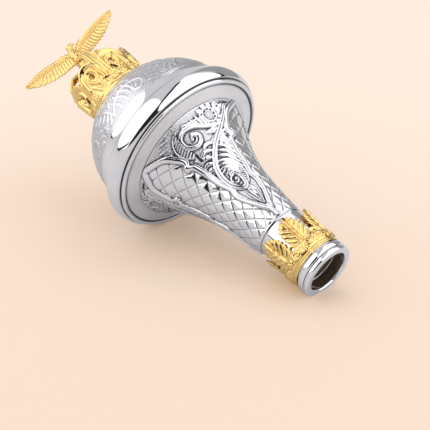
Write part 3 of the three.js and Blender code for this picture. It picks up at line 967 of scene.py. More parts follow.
@dataclass
class EmbossedNeck(TurnedWork):
    """Flared neck with scroll panels between fields of diamonds, and the plain band below it.

    The outline gives a panel's half width in degrees at shares of the neck's height, from the top,
    and split is the share of the rows in the lower of the two embossed pieces.
    """

    panels: int = 3
    panel_turn: float = -24.0
    diamonds_round: int = 15
    diamond_rows: float = 9.0
    columns: int = 540
    rows: int = 236
    band_columns: int = 192
    split: float = 0.42
    outline: Route = (
        (1.0, 60.0), (0.92, 44.0), (0.84, 36.5), (0.79, 33.5), (0.755, 37.0), (0.715, 31.5), (0.6, 29.0),
        (0.5, 27.5), (0.41, 23.0), (0.345, 25.5), (0.27, 21.5), (0.14, 8.0), (0.07, 1.0))

    def radius(self, height: Grid) -> Grid:
        """Radius of the neck: a steady taper that flares out towards the rim.

        The flare over the band's end is 0.33 * share + 0.67 * share^3.6.
        """
        s = self.sizes
        share = np.clip((height - s.band_top) / s.neck_length, 0.0, 1.0)
        return s.band_end + (s.neck_base - s.band_end) * (0.33 * share + 0.67 * share**3.6)

    def stations(self) -> tuple[Grid, Grid]:
        """Heights at even steps along the surface, and the length of surface below each."""
        fine = np.linspace(self.sizes.band_top, self.sizes.neck_top, 1200)
        length = surface_length(fine, self.radius(fine))
        wanted = np.linspace(0.0, length[-1], self.rows)
        return np.interp(wanted, length, fine), wanted

    def diamonds(self, angle: Grid, share: Grid) -> Grid:
        """Height of the diamonds: low rounded points between thin grooves.

        The groove lines are u + v and u - v at whole numbers, where u counts diamonds round the
        neck and v rows, and the height over the nearer line is 0.42 * sin(pi / 2 * distance).

        Args:
            angle: degrees from the panel's middle.
            share: share of the surface's length below.

        Returns:
            Height in millimetres.
        """
        u = angle / 360.0 * self.diamonds_round
        v = share * self.diamond_rows
        low = 1.0 - 2.0 * np.maximum(np.abs(wrapped(u + v, 1.0)), np.abs(wrapped(u - v, 1.0)))
        return 0.42 * np.sin(0.5 * np.pi * np.clip(low, 0.0, 1.0)) - 0.3 * soft_line(low / 0.06)

    def rosette(self, pen: PanelPen) -> None:
        """Draws the rosette under the rim: nine petals and two rings."""
        middle = pen.at(0.925, 20.0)
        for k in range(9):
            turn = 2.0 * math.pi * (k + 0.5) / 9.0
            pen.relief.stroke([spoke(middle, away, turn) for away in (5.0, 6.4, 8.2)], 4.2, 0.85,
                              taper=0.3, groove=0.3)
        for away, width, height in ((5.0, 1.5, 1.15), (3.1, 0.5, 0.55)):
            ring = [spoke(middle, away, turn) for turn in np.linspace(0.0, 2.0 * math.pi, 17)]
            pen.relief.stroke(ring, width, height, taper=0.0)

    def foliage(self, pen: PanelPen) -> None:
        """Draws the plumes and leaves that the stems grow over."""
        pen.plumes([(0.87, 12), (0.88, 9), (0.885, 6), (0.89, 3)],
                   [(0.955, 10), (0.965, 5), (0.955, 0), (0.94, -4)], 2.6, 1.1, 0.0)
        pen.plumes([(0.88, 29), (0.90, 31), (0.93, 33)], [(0.955, 31), (0.975, 35), (0.985, 40)],
                   2.4, 1.0, 0.0)
        for roots, tips, width, height, bend in (
                ((6, 0.78, 19, 4.6), (0.70, 0.042, 25.5, 1.0), 3.4, 1.35, 0.022),
                ((3, 0.77, 20, 5.0), (0.80, 0.03, 31, 1.5), 2.8, 1.1, 0.01),
                ((4, 0.63, -7, 2.2), (0.505, 0.02, 17, 1.2), 3.0, 1.25, 0.03)):
            count, share, angle, turn = roots
            tip_share, tip_fall, tip_angle, tip_turn = tips
            pen.plumes([(share - 0.03 * k, angle - turn * k) for k in range(count)],
                       [(tip_share - tip_fall * k, tip_angle - tip_turn * k) for k in range(count)],
                       width, height, bend)
        pen.plumes([(0.54, -13), (0.51, -12)], [(0.50, 8), (0.47, 12)], 2.4, 1.0, 0.02)
        pen.plumes([(0.75, 7), (0.71, 1), (0.67, -5), (0.63, -10), (0.59, -13)],
                   [(0.755, -9), (0.725, -17), (0.69, -23), (0.65, -25.5), (0.605, -25.5)], 2.8, 1.15, 0.02)
        pen.plumes([(0.33, -2), (0.33, 1), (0.34, 4)], [(0.22, -1.5), (0.235, 3), (0.265, 8)],
                   2.2, 0.95, 0.0)
        for root, tip, width, bend in (
                ((0.80, 20), (0.76, 1), 6.0, 0.1), ((0.84, 24), (0.84, 4), 5.0, 0.1),
                ((0.83, 24), (0.815, 8), 4.2, -0.1), ((0.93, 8), (0.975, -14), 5.0, 0.1),
                ((0.91, 4), (0.935, -12), 4.4, -0.1), ((0.88, 37), (0.79, 34), 4.2, 0.1),
                ((0.84, 33), (0.72, 30), 3.6, 0.1), ((0.70, -8), (0.72, -20), 4.2, 0.1),
                ((0.62, -14), (0.60, -22), 3.4, 0.1), ((0.97, 26), (0.985, 38), 4.0, 0.0)):
            pen.relief.leaf(pen.at(*root), pen.at(*tip), width, 1.0, bend=bend)

    def lower_scroll(self, pen: PanelPen) -> None:
        """Draws the long stem down the panel with its volute, and the ladder of bars beside it."""
        pen.stroke([(0.955, 41), (0.90, 36), (0.84, 28), (0.75, 10), (0.66, -5), (0.58, -15), (0.48, -18.5),
                    (0.40, -15), (0.352, -6), (0.36, 2), (0.42, 5.5), (0.485, 1.5), (0.49, -5)],
                   4.0, 1.5, taper=0.35, groove=0.8)
        pen.relief.volute(pen.at(0.437, -5.0), 75.0, 3.6, 1.2, 1.5, 1.5)
        pen.cut([(0.39, 9.5), (0.44, 11.5), (0.49, 12.0)], 3.6, 1.0, taper=0.3)
        for k in range(7):
            share = 0.385 + 0.018 * k
            pen.stroke([(share, 7.5 + 0.35 * k), (share - 0.012, 12.0 + 0.5 * k)], 0.9, 0.9, taper=0.2)
        pen.stroke([(0.36, 8), (0.40, 13.5), (0.45, 16.5), (0.50, 17)], 1.5, 1.2, taper=0.3)

    def upper_scroll(self, pen: PanelPen) -> None:
        """Draws the scroll under the rosette, its ladder of bars, and the dark gaps round it."""
        pen.stroke([(0.845, 28), (0.87, 11), (0.915, -1), (0.93, -11), (0.90, -19), (0.84, -19.5),
                    (0.80, -11), (0.815, -3), (0.855, -1.5), (0.882, -7)], 3.4, 1.5, taper=0.3, groove=0.7)
        pen.relief.volute(pen.at(0.855, -8.5), 200.0, 3.4, 1.2, 1.3, 1.4)
        pen.cut([(0.775, -21), (0.815, -24.5), (0.855, -26), (0.89, -25), (0.925, -21)], 5.6, 1.3, taper=0.3)
        for k in range(9):
            share = 0.775 + 0.155 * k / 8.0
            swell = math.sin(math.pi * (k + 0.5) / 9.0)
            pen.stroke([(share + 0.004, -19.0 - 3.0 * swell), (share - 0.012, -23.5 - 5.0 * swell)],
                       1.15, 1.25, taper=0.1)
        pen.stroke([(0.955, -17), (0.93, -25), (0.87, -30.5), (0.80, -29), (0.757, -21.5)], 1.3, 1.4,
                   taper=0.3)
        pen.plumes([(0.965, -26), (0.93, -32), (0.89, -34), (0.85, -33.5)],
                   [(0.985, -36), (0.955, -41), (0.90, -41), (0.845, -37)], 1.5, 0.9, 0.0)
        pen.cut([(0.765, -18.5), (0.735, -19.5), (0.70, -18.0)], 3.0, 1.4)
        pen.cut([(0.86, -9.6), (0.853, -8.0), (0.848, -6.6)], 1.8, 1.3)
        pen.cut([(0.975, 34.0), (0.985, 41.0), (0.985, 48.0)], 2.6, 1.0)

    def borders(self, pen: PanelPen) -> None:
        """Draws the panel's border rib, the line inside it and the spear at its foot."""
        for lean in (-1.0, 1.0):
            pen.stroke([(0.31, lean * 9.0), (0.22, lean * 5.5), (0.15, lean * 1.2)], 1.1, 0.8)
            outer = [(min(share, 0.992), lean * half) for share, half in self.outline[:-1]]
            pen.stroke(outer + [(0.075, 0.0)], 3.4, 1.6, taper=0.0, spacing=0.3)
            inner = [(min(share, 0.985), lean * max(half - 5.6 + 2.2 * share, 0.0))
                     for share, half in self.outline[:-2]]
            pen.stroke(inner, 1.1, 0.95, taper=0.0, spacing=0.3)
            pen.relief.boss(pen.at(0.755, lean * 37.0), 2.6, 2.1)
        pen.stroke([(0.12, 0.0), (0.07, 0.0), (0.012, 0.0)], 3.0, 2.0, taper=0.0, groove=0.4)

    def third(self, height: Grid, length: Grid) -> tuple[Grid, Grid]:
        """Draws one panel's third of the neck.

        Args:
            height: heights of the rows.
            length: length of surface below each row.

        Returns:
            The raised height in millimetres and the share of punched ground, at each point.
        """
        s = self.sizes
        part = self.columns // self.panels
        offset = (np.arange(part) - part // 2) * 360.0 / self.columns
        across = np.radians(offset)[None, :] * self.radius(height)[:, None]
        angle, along = np.broadcast_to(offset, across.shape), np.repeat(length[:, None], part, axis=1)
        relief = Relief(across, along)

        def at(share: float, turn: float) -> Place:
            """Place in millimetres of a share of the neck's height and an angle."""
            level = s.band_top + share * s.neck_length
            return math.radians(turn) * float(self.radius(level)), float(np.interp(level, height, length))

        pen = PanelPen(relief, at)
        for draw in (self.rosette, self.foliage, self.lower_scroll, self.upper_scroll, self.borders):
            draw(pen)
        share = ((height - s.band_top) / s.neck_length)[:, None]
        high, half_width = np.array(self.outline[::-1]).T
        beyond = np.abs(angle) - np.interp(share, high, half_width)
        quilt = smooth(1.0, 4.0, beyond) * self.diamonds(angle, along / length[-1])
        ends = smooth(0.0, 1.6, along) * smooth(0.0, 1.0, length[-1] - along)
        ground = relief.ground * (1.0 - smooth(-2.0, 1.0, beyond)) * ends
        ground = ground * (0.85 + 0.15 * smooth(8.0, -14.0, angle) * smooth(0.60, 0.80, share))
        return (relief.height + quilt * (relief.height < 0.2)) * ends, ground

    def build(self) -> None:
        """Makes the embossed part in two pieces, one third drawn once and laid round, and the band."""
        height, length = self.stations()
        raised, ground = (np.tile(part, (1, self.panels)) for part in self.third(height, length))
        # Painted shade in the hollows of the embossing.
        recess_shade = np.clip(1.6 * recess_of(raised, 0.5, 3) ** 1.2, 0.0, 1.0)
        turn = self.panel_turn + round_angles(self.columns) - 360.0 / self.panels / 2.0
        level = np.repeat(height[:, None], self.columns, axis=1)
        points = self.frame.around(self.radius(level) + raised, turn[None, :], level)
        split = int(self.split * self.rows)
        for name, part in (("neck_embossed_low", slice(0, split + 1)), ("neck_embossed", slice(split, None))):
            faces = self.maker.grid_faces(len(points[part]), self.columns, Seam.ROUND)
            piece = self.maker.mesh(name, points[part], faces, recess_shade[part], ground[part])
            self.maker.finish(piece, SILVER_EMBOSSED, "neck")
        self.band()

    def band(self) -> None:
        """Makes the plain polished band, with a fine line where the embossing starts."""
        s = self.sizes
        low = s.ring_length + s.joint_gap
        profile = resampled(np.array([
            [s.band, low], [s.band, s.band_top - 1.6], [s.band_end + 0.15, s.band_top - 0.5],
            [s.band_end + 0.05, s.band_top], [s.band_end - 0.8, s.band_top + 0.3],
            [s.bore + 0.2, s.band_top + 0.3], [s.bore + 0.2, low]]), 1.0)
        line = soft_line((profile[:, 1] - s.band_top + 1.2) / 0.3) * (profile[:, 0] > s.band - 0.5)
        piece = self.turn("neck_band", profile, self.band_columns, line)
        self.maker.finish(piece, SILVER_POLISHED, "neck")


@dataclass
class Dome(Part):
    """Embossed dome with low scrolls and foliage on a punched ground.

    The depth is the share of the drawn height that stands out. The embossing ends at the angle
    embossed_to over the widest circle, and a small flat closes the plain top at the pole.
    """

    repeats: int = 6
    depth: float = 0.42
    embossed_to: float = 66.0
    pole: float = 89.0
    columns: int = 480
    rows: int = 126
    cap_rows: int = 10

    def motif(self, relief: Relief) -> None:
        """Draws one repeat: two scrolls with volutes, plumes beside them, a flower and small leaves."""
        relief.stroke([(-29, 6), (-24, 13), (-14, 19), (-3, 18), (3, 12), (0, 6.5), (-6, 7), (-6.5, 11)],
                      2.8, 1.0, taper=0.35, groove=0.25)
        relief.volute((-3.2, 10.5), 20.0, 3.4, 1.2, 1.2, 0.9)
        relief.stroke([(29, 6), (25, 16), (16, 25), (5, 28), (-3, 24), (-3, 18.5)], 2.6, 0.95, taper=0.35,
                      groove=0.22)
        relief.stroke([(16, 25), (6, 34), (-5, 35), (-9, 30), (-5, 26.5), (-1, 29)], 2.2, 0.9, taper=0.4,
                      groove=0.2)
        relief.stroke([(-24, 13), (-27, 24), (-21, 33), (-13, 33), (-11, 27.5), (-16, 25.5)], 2.2, 0.9,
                      taper=0.4, groove=0.2)
        relief.stroke([(5, 34), (8, 43), (2, 49), (-5, 46), (-3, 41.5)], 2.0, 0.85, taper=0.4, groove=0.2)
        plumes = (
            (-24, 13, -21, 4, 1.2), (-19, 16, -14, 6, 1.2), (-14, 18.5, -9.5, 9, 1.0), (-9, 19, -7, 12, 0.8),
            (-20, 16, -20, 23, -1.0), (-14, 19, -14.5, 24, -0.8), (-8, 20, -10, 26, -0.8),
            (24, 17, 17, 13, 1.4), (20, 21, 12, 16, 1.4), (15, 25, 8, 20, 1.2), (10, 27, 5, 22.5, 1.0),
            (26, 14, 20, 8, 1.2), (27, 10, 22, 3.5, 1.0), (7, 13, 14, 10, 1.0), (6, 9, 13, 5, 1.0),
            (4, 6, 10, 2, 0.8), (18, 26, 24, 33, -1.2), (14, 29, 19, 38, -1.2), (10, 32, 13, 42, -1.0),
            (-23, 31, -25, 40, 1.0), (-18, 34, -19, 43, 1.0), (-13, 34, -12, 42, 1.0), (-6, 36, -8, 44, 1.0),
            (22, 27, 28, 27, 0.8), (-27, 22, -29.5, 16, 0.5), (4, 50, 10, 54, 0.6), (-5, 47, -10, 52, 0.6))
        for a, b, c, d, bend in plumes:
            relief.stroke([(a, b), ((a + c) / 2 + bend, (b + d) / 2 + 0.5 * bend), (c, d)], 2.3, 0.85,
                          taper=0.75, groove=0.18)
        for x, y, size in ((17.5, 6.5, 2.0), (27, 38, 2.4), (-28.5, 46, 1.8)):
            relief.boss((x, y), 0.45 * size, 0.8)
            for k in range(7):
                turn = 2.0 * math.pi * k / 7.0
                relief.stroke([spoke((x, y), away * size, turn) for away in (0.6, 0.9, 1.35)], 1.3, 0.75,
                              taper=0.4)
        relief.stroke([(-40, 1.5), (0, 1.5), (40, 1.5)], 0.9, 0.8, taper=0.0)

    def build(self) -> None:
        """Makes the dome: relief from its lowest circle to the crown's foot, and a plain top inside it."""
        s = self.sizes
        low = math.degrees(math.asin(s.dome_drop / s.dome_height))
        rise = np.radians(np.concatenate([np.linspace(low, self.embossed_to, self.rows),
                                          np.linspace(self.embossed_to, self.pole, self.cap_rows)[1:]]))
        radius = s.dome * np.cos(rise)
        height = s.dome_centre + s.dome_height * np.sin(rise)
        length = surface_length(radius, height)
        part = self.columns // self.repeats
        offset = (np.arange(part) - part // 2) * 360.0 / self.columns
        along = np.repeat(length[:, None], part, axis=1)
        relief = Relief(np.tile(np.radians(offset) * s.dome, (len(rise), 1)), along)
        self.motif(relief)
        ends = smooth(0.6, 2.4, along) * smooth(0.0, 3.0, length[self.rows - 1] - along)
        raised = np.tile(relief.height * ends, (1, self.repeats)) * self.depth
        ground = np.tile(relief.ground * ends, (1, self.repeats))
        points = self.frame.around(radius[:, None] + raised * np.cos(rise)[:, None],
                                   round_angles(self.columns)[None, :],
                                   height[:, None] + raised * np.sin(rise)[:, None])
        foot = (len(rise) - 1) * self.columns
        faces = np.delete(loft_faces(len(rise), self.columns),
                          np.s_[foot:foot + self.columns // 2 - 1], axis=0)
        # Painted shade in the hollows of the dome's relief.
        piece = outward(self.maker.mesh("dome_embossed", points, faces, 0.45 * recess_of(raised, 0.5, 3),
                                        0.35 + 0.4 * ground))
        self.maker.finish(piece, SILVER_EMBOSSED, "dome_cap")


@dataclass
class Batch:
    """Grids gathered into one mesh.

    Attributes:
        points: the points gathered so far, in metres.
        faces: the quads gathered so far.
        shade: the painted shade value of each point.
    """

    points: list[Grid] = field(default_factory=list)
    faces: list[Grid] = field(default_factory=list)
    shade: list[Grid] = field(default_factory=list)

    def add(self, points: Grid, faces: Grid, shade: Optional[Grid] = None) -> None:
        """Adds one grid's points, quads and recess values."""
        flat = points.reshape(-1, 3)
        self.faces.append(faces + sum(len(part) for part in self.points))
        self.points.append(flat)
        self.shade.append(np.zeros(len(flat)) if shade is None else shade.reshape(-1))

    def mesh(self, maker: PieceMaker, name: str) -> bpy.types.Object:
        """Makes one mesh object of all that was gathered."""
        return maker.mesh(name, np.vstack(self.points), np.vstack(self.faces), np.concatenate(self.shade))


def loft_faces(rows: int, ring: int) -> Grid:
    """Quads of a loft whose rings are closed and whose two ends are closed by bands of quads."""
    sides = PieceMaker().grid_faces(rows, ring, Seam.ROUND)
    step = np.arange(ring // 2 - 1)
    cap = np.stack([step, step + 1, ring - 2 - step, ring - 1 - step], axis=1)
    return np.vstack([sides, cap[:, ::-1], cap + (rows - 1) * ring])


def swept(centres: Grid, wide: Grid, deep: Grid, side: tuple[float, float, float], ring: int,
          relief: Optional[Callable[[Grid, Grid], Grid]] = None) -> Grid:
    """Points of a body with oval sections along a line.

    Each section is centre + wide * cos a * first + deep * sin a * second, where second lies across
    the line and the side direction, and first across both.

    Args:
        centres: rows of [x, y, z] in millimetres.
        wide: half widths.
        deep: half depths.
        side: direction that the half widths are measured in, as nearly as the line lets them.
        ring: points round each section.
        relief: raised height at a share of the length and an angle.

    Returns:
        Points as an array of rows, ring points and coordinates.
    """
    ahead = np.gradient(centres, axis=0)
    ahead /= np.linalg.norm(ahead, axis=1, keepdims=True)
    first = np.asarray(side, float)[None, :] - (ahead @ np.asarray(side, float))[:, None] * ahead
    first /= np.linalg.norm(first, axis=1, keepdims=True)
    second = np.cross(ahead, first)
    share, turn = np.meshgrid(np.linspace(0.0, 1.0, len(centres)), np.radians(round_angles(ring)),
                              indexing="ij")
    raised = 0.0 if relief is None else relief(share, turn)
    w = ((wide[:, None] + raised) * np.cos(turn))[..., None]
    d = ((deep[:, None] + raised) * np.sin(turn))[..., None]
    return centres[:, None, :] + w * first[:, None, :] + d * second[:, None, :]


def scales(along: Grid, across: Grid) -> Grid:
    """Overlapping feathers, 1 at the root of each and 0 at its tip and its sides.

    Every other row is set over by half a feather, and the height is (1 - share of the row)^0.7 *
    (1 - (2 * place)^2).

    Args:
        along: number of rows up to each point.
        across: number of feathers up to each point.

    Returns:
        The height from 0 to 1.
    """
    row = np.floor(along)
    rest = along - row
    place = (across + 0.5 * np.mod(row, 2.0)) % 1.0 - 0.5
    return (1.0 - rest) ** 0.7 * (1.0 - (2.0 * place) ** 2)


def pierced(angle: Grid, height: Grid, faces: Grid, radius: float,
            holes: Sequence[tuple[float, float, float, float]]) -> tuple[Grid, Grid, Grid]:
    """Cuts round holes through a grid that is still flat.

    Faces that lie wholly inside a hole go, and the points inside that are left move to its edge.

    Args:
        angle: angle of each point in degrees.
        height: height of each point.
        faces: the quads.
        radius: distance from the axis that turns angles into lengths.
        holes: angle, height, half width and half height of each hole.

    Returns:
        The changed angles, heights and quads.
    """
    angle, height = angle.ravel().copy(), height.ravel().copy()
    arc_length = math.radians(1.0) * radius
    for middle, level, wide, tall in holes:
        dx = wrapped(angle - middle) * arc_length / wide
        dy = (height - level) / tall
        away = np.hypot(dx, dy)
        inside = away < 1.0
        faces = faces[~inside[faces].all(axis=1)]
        out = 1.0 / np.maximum(away, 1e-6)
        angle = np.where(inside, middle + dx * out * wide / arc_length, angle)
        height = np.where(inside, level + dy * out * tall, height)
    return angle, height, faces


def used_only(points: Grid, faces: Grid, *values: Grid) -> tuple[Grid, ...]:
    """Drops points that no face uses, and the values that belong to them."""
    kept, index = np.unique(faces, return_inverse=True)
    return (points[kept], index.reshape(faces.shape)) + tuple(v.ravel()[kept] for v in values)


def walled(piece: bpy.types.Object, thickness: float) -> bpy.types.Object:
    """Gives a sheet a wall behind it by a Solidify modifier, of a thickness in millimetres."""
    wall = piece.modifiers.new("wall", "SOLIDIFY")
    wall.thickness = thickness * MILLIMETRE
    wall.offset = -1.0
    return piece


@dataclass
class LeafCollar(Part):
    """Gilt collar: a moulded band with a ring of scrolls, toothed leaves in pairs and small holes.

    A leaf starts leaf_foot below the band's top and leans out by lean at its tip, with a groove at
    rib_groove on either side of its midrib. Each lobe between two pairs has two holes, at
    lobe_hole_spread from its middle.
    """

    turned_by: float = -58.0
    pairs: int = 3
    pair_angle: float = 56.0
    band_height: float = 12.6
    band_wall: float = 0.8
    leaf_wall: float = 0.7
    leaf_length: float = 20.6
    leaf_foot: float = 2.6
    lean: float = 1.5
    hole: float = 1.5
    lobe_hole_spread: float = 14.0
    vein_gap: float = 4.1
    rib_groove: float = 1.3
    columns: int = 400
    rows: int = 46

    @property
    def low(self) -> float:
        """Height of the collar's lower edge."""
        return self.sizes.ring_length + self.sizes.joint_gap

    @property
    def high(self) -> float:
        """Height of the band's top."""
        return self.low + self.band_height

    def leaf_middles(self) -> Grid:
        """Angle of the middle of each leaf."""
        centres = np.arange(self.pairs) * 360.0 / self.pairs + self.turned_by
        return np.concatenate([centres - self.pair_angle / 2.0, centres + self.pair_angle / 2.0])

    def hole_places(self) -> list[float]:
        """Angle of each hole: one inside each pair and two between one pair and the next."""
        half = 180.0 / self.pairs
        return [self.turned_by + 2.0 * half * pair + place for pair in range(self.pairs)
                for place in (0.0, half - self.lobe_hole_spread, half + self.lobe_hole_spread)]

    def band_radius(self, height: Grid) -> Grid:
        """Radius of the band without its scrolls: two fine beads, a swell and an edge line."""
        mouldings = ((15.9, 3.7, 1.0), (9.8, 0.7, 0.55), (11.25, 0.7, 0.6), (20.0, 0.42, 0.5))
        return self.sizes.band + 1.25 + sum(size * crest((height - middle) / half)
                                            for middle, half, size in mouldings)

    def scrolls(self, angle: Grid, height: Grid) -> Relief:
        """Ring of small scrolls and leaves on the band's swell, twelve round the collar.

        Args:
            angle: angle of each point in degrees.
            height: height of each point.

        Returns:
            The relief of all twelve.
        """
        across = wrapped(angle - self.turned_by, 30.0) * math.radians(1.0) * (self.sizes.band + 2.2)
        relief = Relief(across, height)
        relief.stroke([(-4.8, 13.3), (-3.4, 17.2), (-0.5, 18.2), (1.4, 16.4), (0.2, 14.8), (-1.0, 15.7)],
                      1.8, 0.95, groove=0.15, spacing=0.25)
        relief.leaf((1.2, 13.6), (4.9, 18.2), 3.2, 0.9, lobes=3)
        relief.leaf((-1.8, 13.2), (2.6, 13.1), 1.8, 0.7, lobes=2)
        relief.boss((-3.4, 14.6), 0.85, 0.8)
        return relief

    def build(self) -> None:
        """Makes the band and the leaves."""
        angle = round_angles(self.columns)
        middles = self.leaf_middles()
        to_leaf = np.abs(wrapped(angle[:, None] - middles[None, :])).min(axis=1)
        top = self.high - 0.6 + 2.9 * crest((32.0 - to_leaf) / 15.0)
        share = np.linspace(0.0, 1.0, self.rows)
        height = self.low + share[:, None] * (top[None, :] - self.low)
        turn = np.repeat(angle[None, :], self.rows, axis=0)
        relief = self.scrolls(turn, height)
        raised = relief.height * smooth(12.4, 13.4, height) * (1.0 - smooth(18.3, 19.3, height))
        edge = 0.35 * smooth(1.6, 0.5, top[None, :] - height)
        # Painted shade in the hollows of the scrolls and mouldings.
        shade = np.clip(1.25 * recess_of(raised + self.band_radius(height), 0.5, 2), 0.0, 1.0)
        hole_height = self.high - 0.9
        holes = [(place, hole_height, self.hole, self.hole) for place in self.hole_places()]
        faces = self.maker.grid_faces(self.rows, self.columns, Seam.ROUND)
        lips = sum(soft_line((np.hypot(wrapped(turn - place) * 0.335, height - hole_height)
                              - self.hole - 0.4) / 0.4) for place in self.hole_places())
        radius = self.band_radius(height) + raised + edge + 0.35 * lips
        turn_flat, height_flat, faces = pierced(turn, height, faces, self.sizes.band + 2.0, holes)
        points = self.frame.around(radius.ravel(), turn_flat, height_flat)
        piece = walled(self.maker.mesh("collar_band", *used_only(points, faces, shade)), self.band_wall)
        self.maker.finish(piece, GILT_CAST, "leaf_collar")
        self.leaves(middles)

    def vein(self, across: Grid, along: Grid) -> Grid:
        """Ridge of the side veins, which leave the midrib at 45 degrees: |cos| over the vein gap."""
        return np.abs(np.cos(np.pi * (along - 0.95 * np.abs(across)) / self.vein_gap))

    def outline(self, angle: Grid) -> Grid:
        """Distance from a leaf's foot to its toothed edge, in a direction in degrees off its midrib.

        The smooth edge is read off a few chosen distances, and a tooth stands out where a side
        vein meets the edge: 0.85 + 0.15 * ridge^0.6.
        """
        edge = np.interp(np.abs(angle), (0, 14, 28, 42, 56, 72, 90),
                         (self.leaf_length, 19.2, 16.6, 13.2, 10.4, 8.0, 5.6))
        turn = np.radians(angle)
        ridge = self.vein(edge * np.sin(turn), edge * np.cos(turn))
        return edge * (0.85 + 0.15 * ridge**0.6)

    def leaves(self, middles: Grid) -> None:
        """Makes the leaves with a midrib and side veins that spread from a foot on the band."""
        rows, columns = 30, 121
        away = np.linspace(0.06, 1.0, rows)[:, None]
        lean = np.linspace(-88.0, 88.0, columns)[None, :]
        reach = away * self.outline(lean)
        across, along = reach * np.sin(np.radians(lean)), reach * np.cos(np.radians(lean))
        vein = self.vein(across, along)
        near = smooth(0.12, 0.4, away)
        beside_rib = np.abs(across) - self.rib_groove
        raised = 0.5 * vein**1.2 * near + 1.1 * soft_line(across / 0.8) * smooth(1.0, 0.7, away)
        raised = raised - 0.5 * smooth(0.86, 1.0, away) + 0.7 * smooth(0.5, 0.95, away) * (along / 20.0)
        raised = raised - 0.35 * soft_line(beside_rib / 0.45) * near
        radius = self.sizes.band + 1.35 + raised + self.lean * (along / 20.0) ** 2
        # Painted shade between the side veins, along the leaf's edge and in the grooves beside the midrib.
        shade = np.clip(0.4 * (1.0 - vein) ** 2.2 * near + 0.25 * smooth(0.9, 1.0, away)
                        + 0.5 * soft_line(beside_rib / 0.4) * near, 0.0, 1.0)
        batch = Batch()
        faces = self.maker.grid_faces(rows, columns, Seam.OPEN)[:, ::-1]
        for middle in middles:
            turn = middle - np.degrees(across / (self.sizes.band + 1.9))
            batch.add(self.frame.around(radius, turn, self.high - self.leaf_foot + along), faces, shade)
        piece = walled(batch.mesh(self.maker, "collar_leaves"), self.leaf_wall)
        self.maker.finish(piece, GILT_CAST, "leaf_collar")


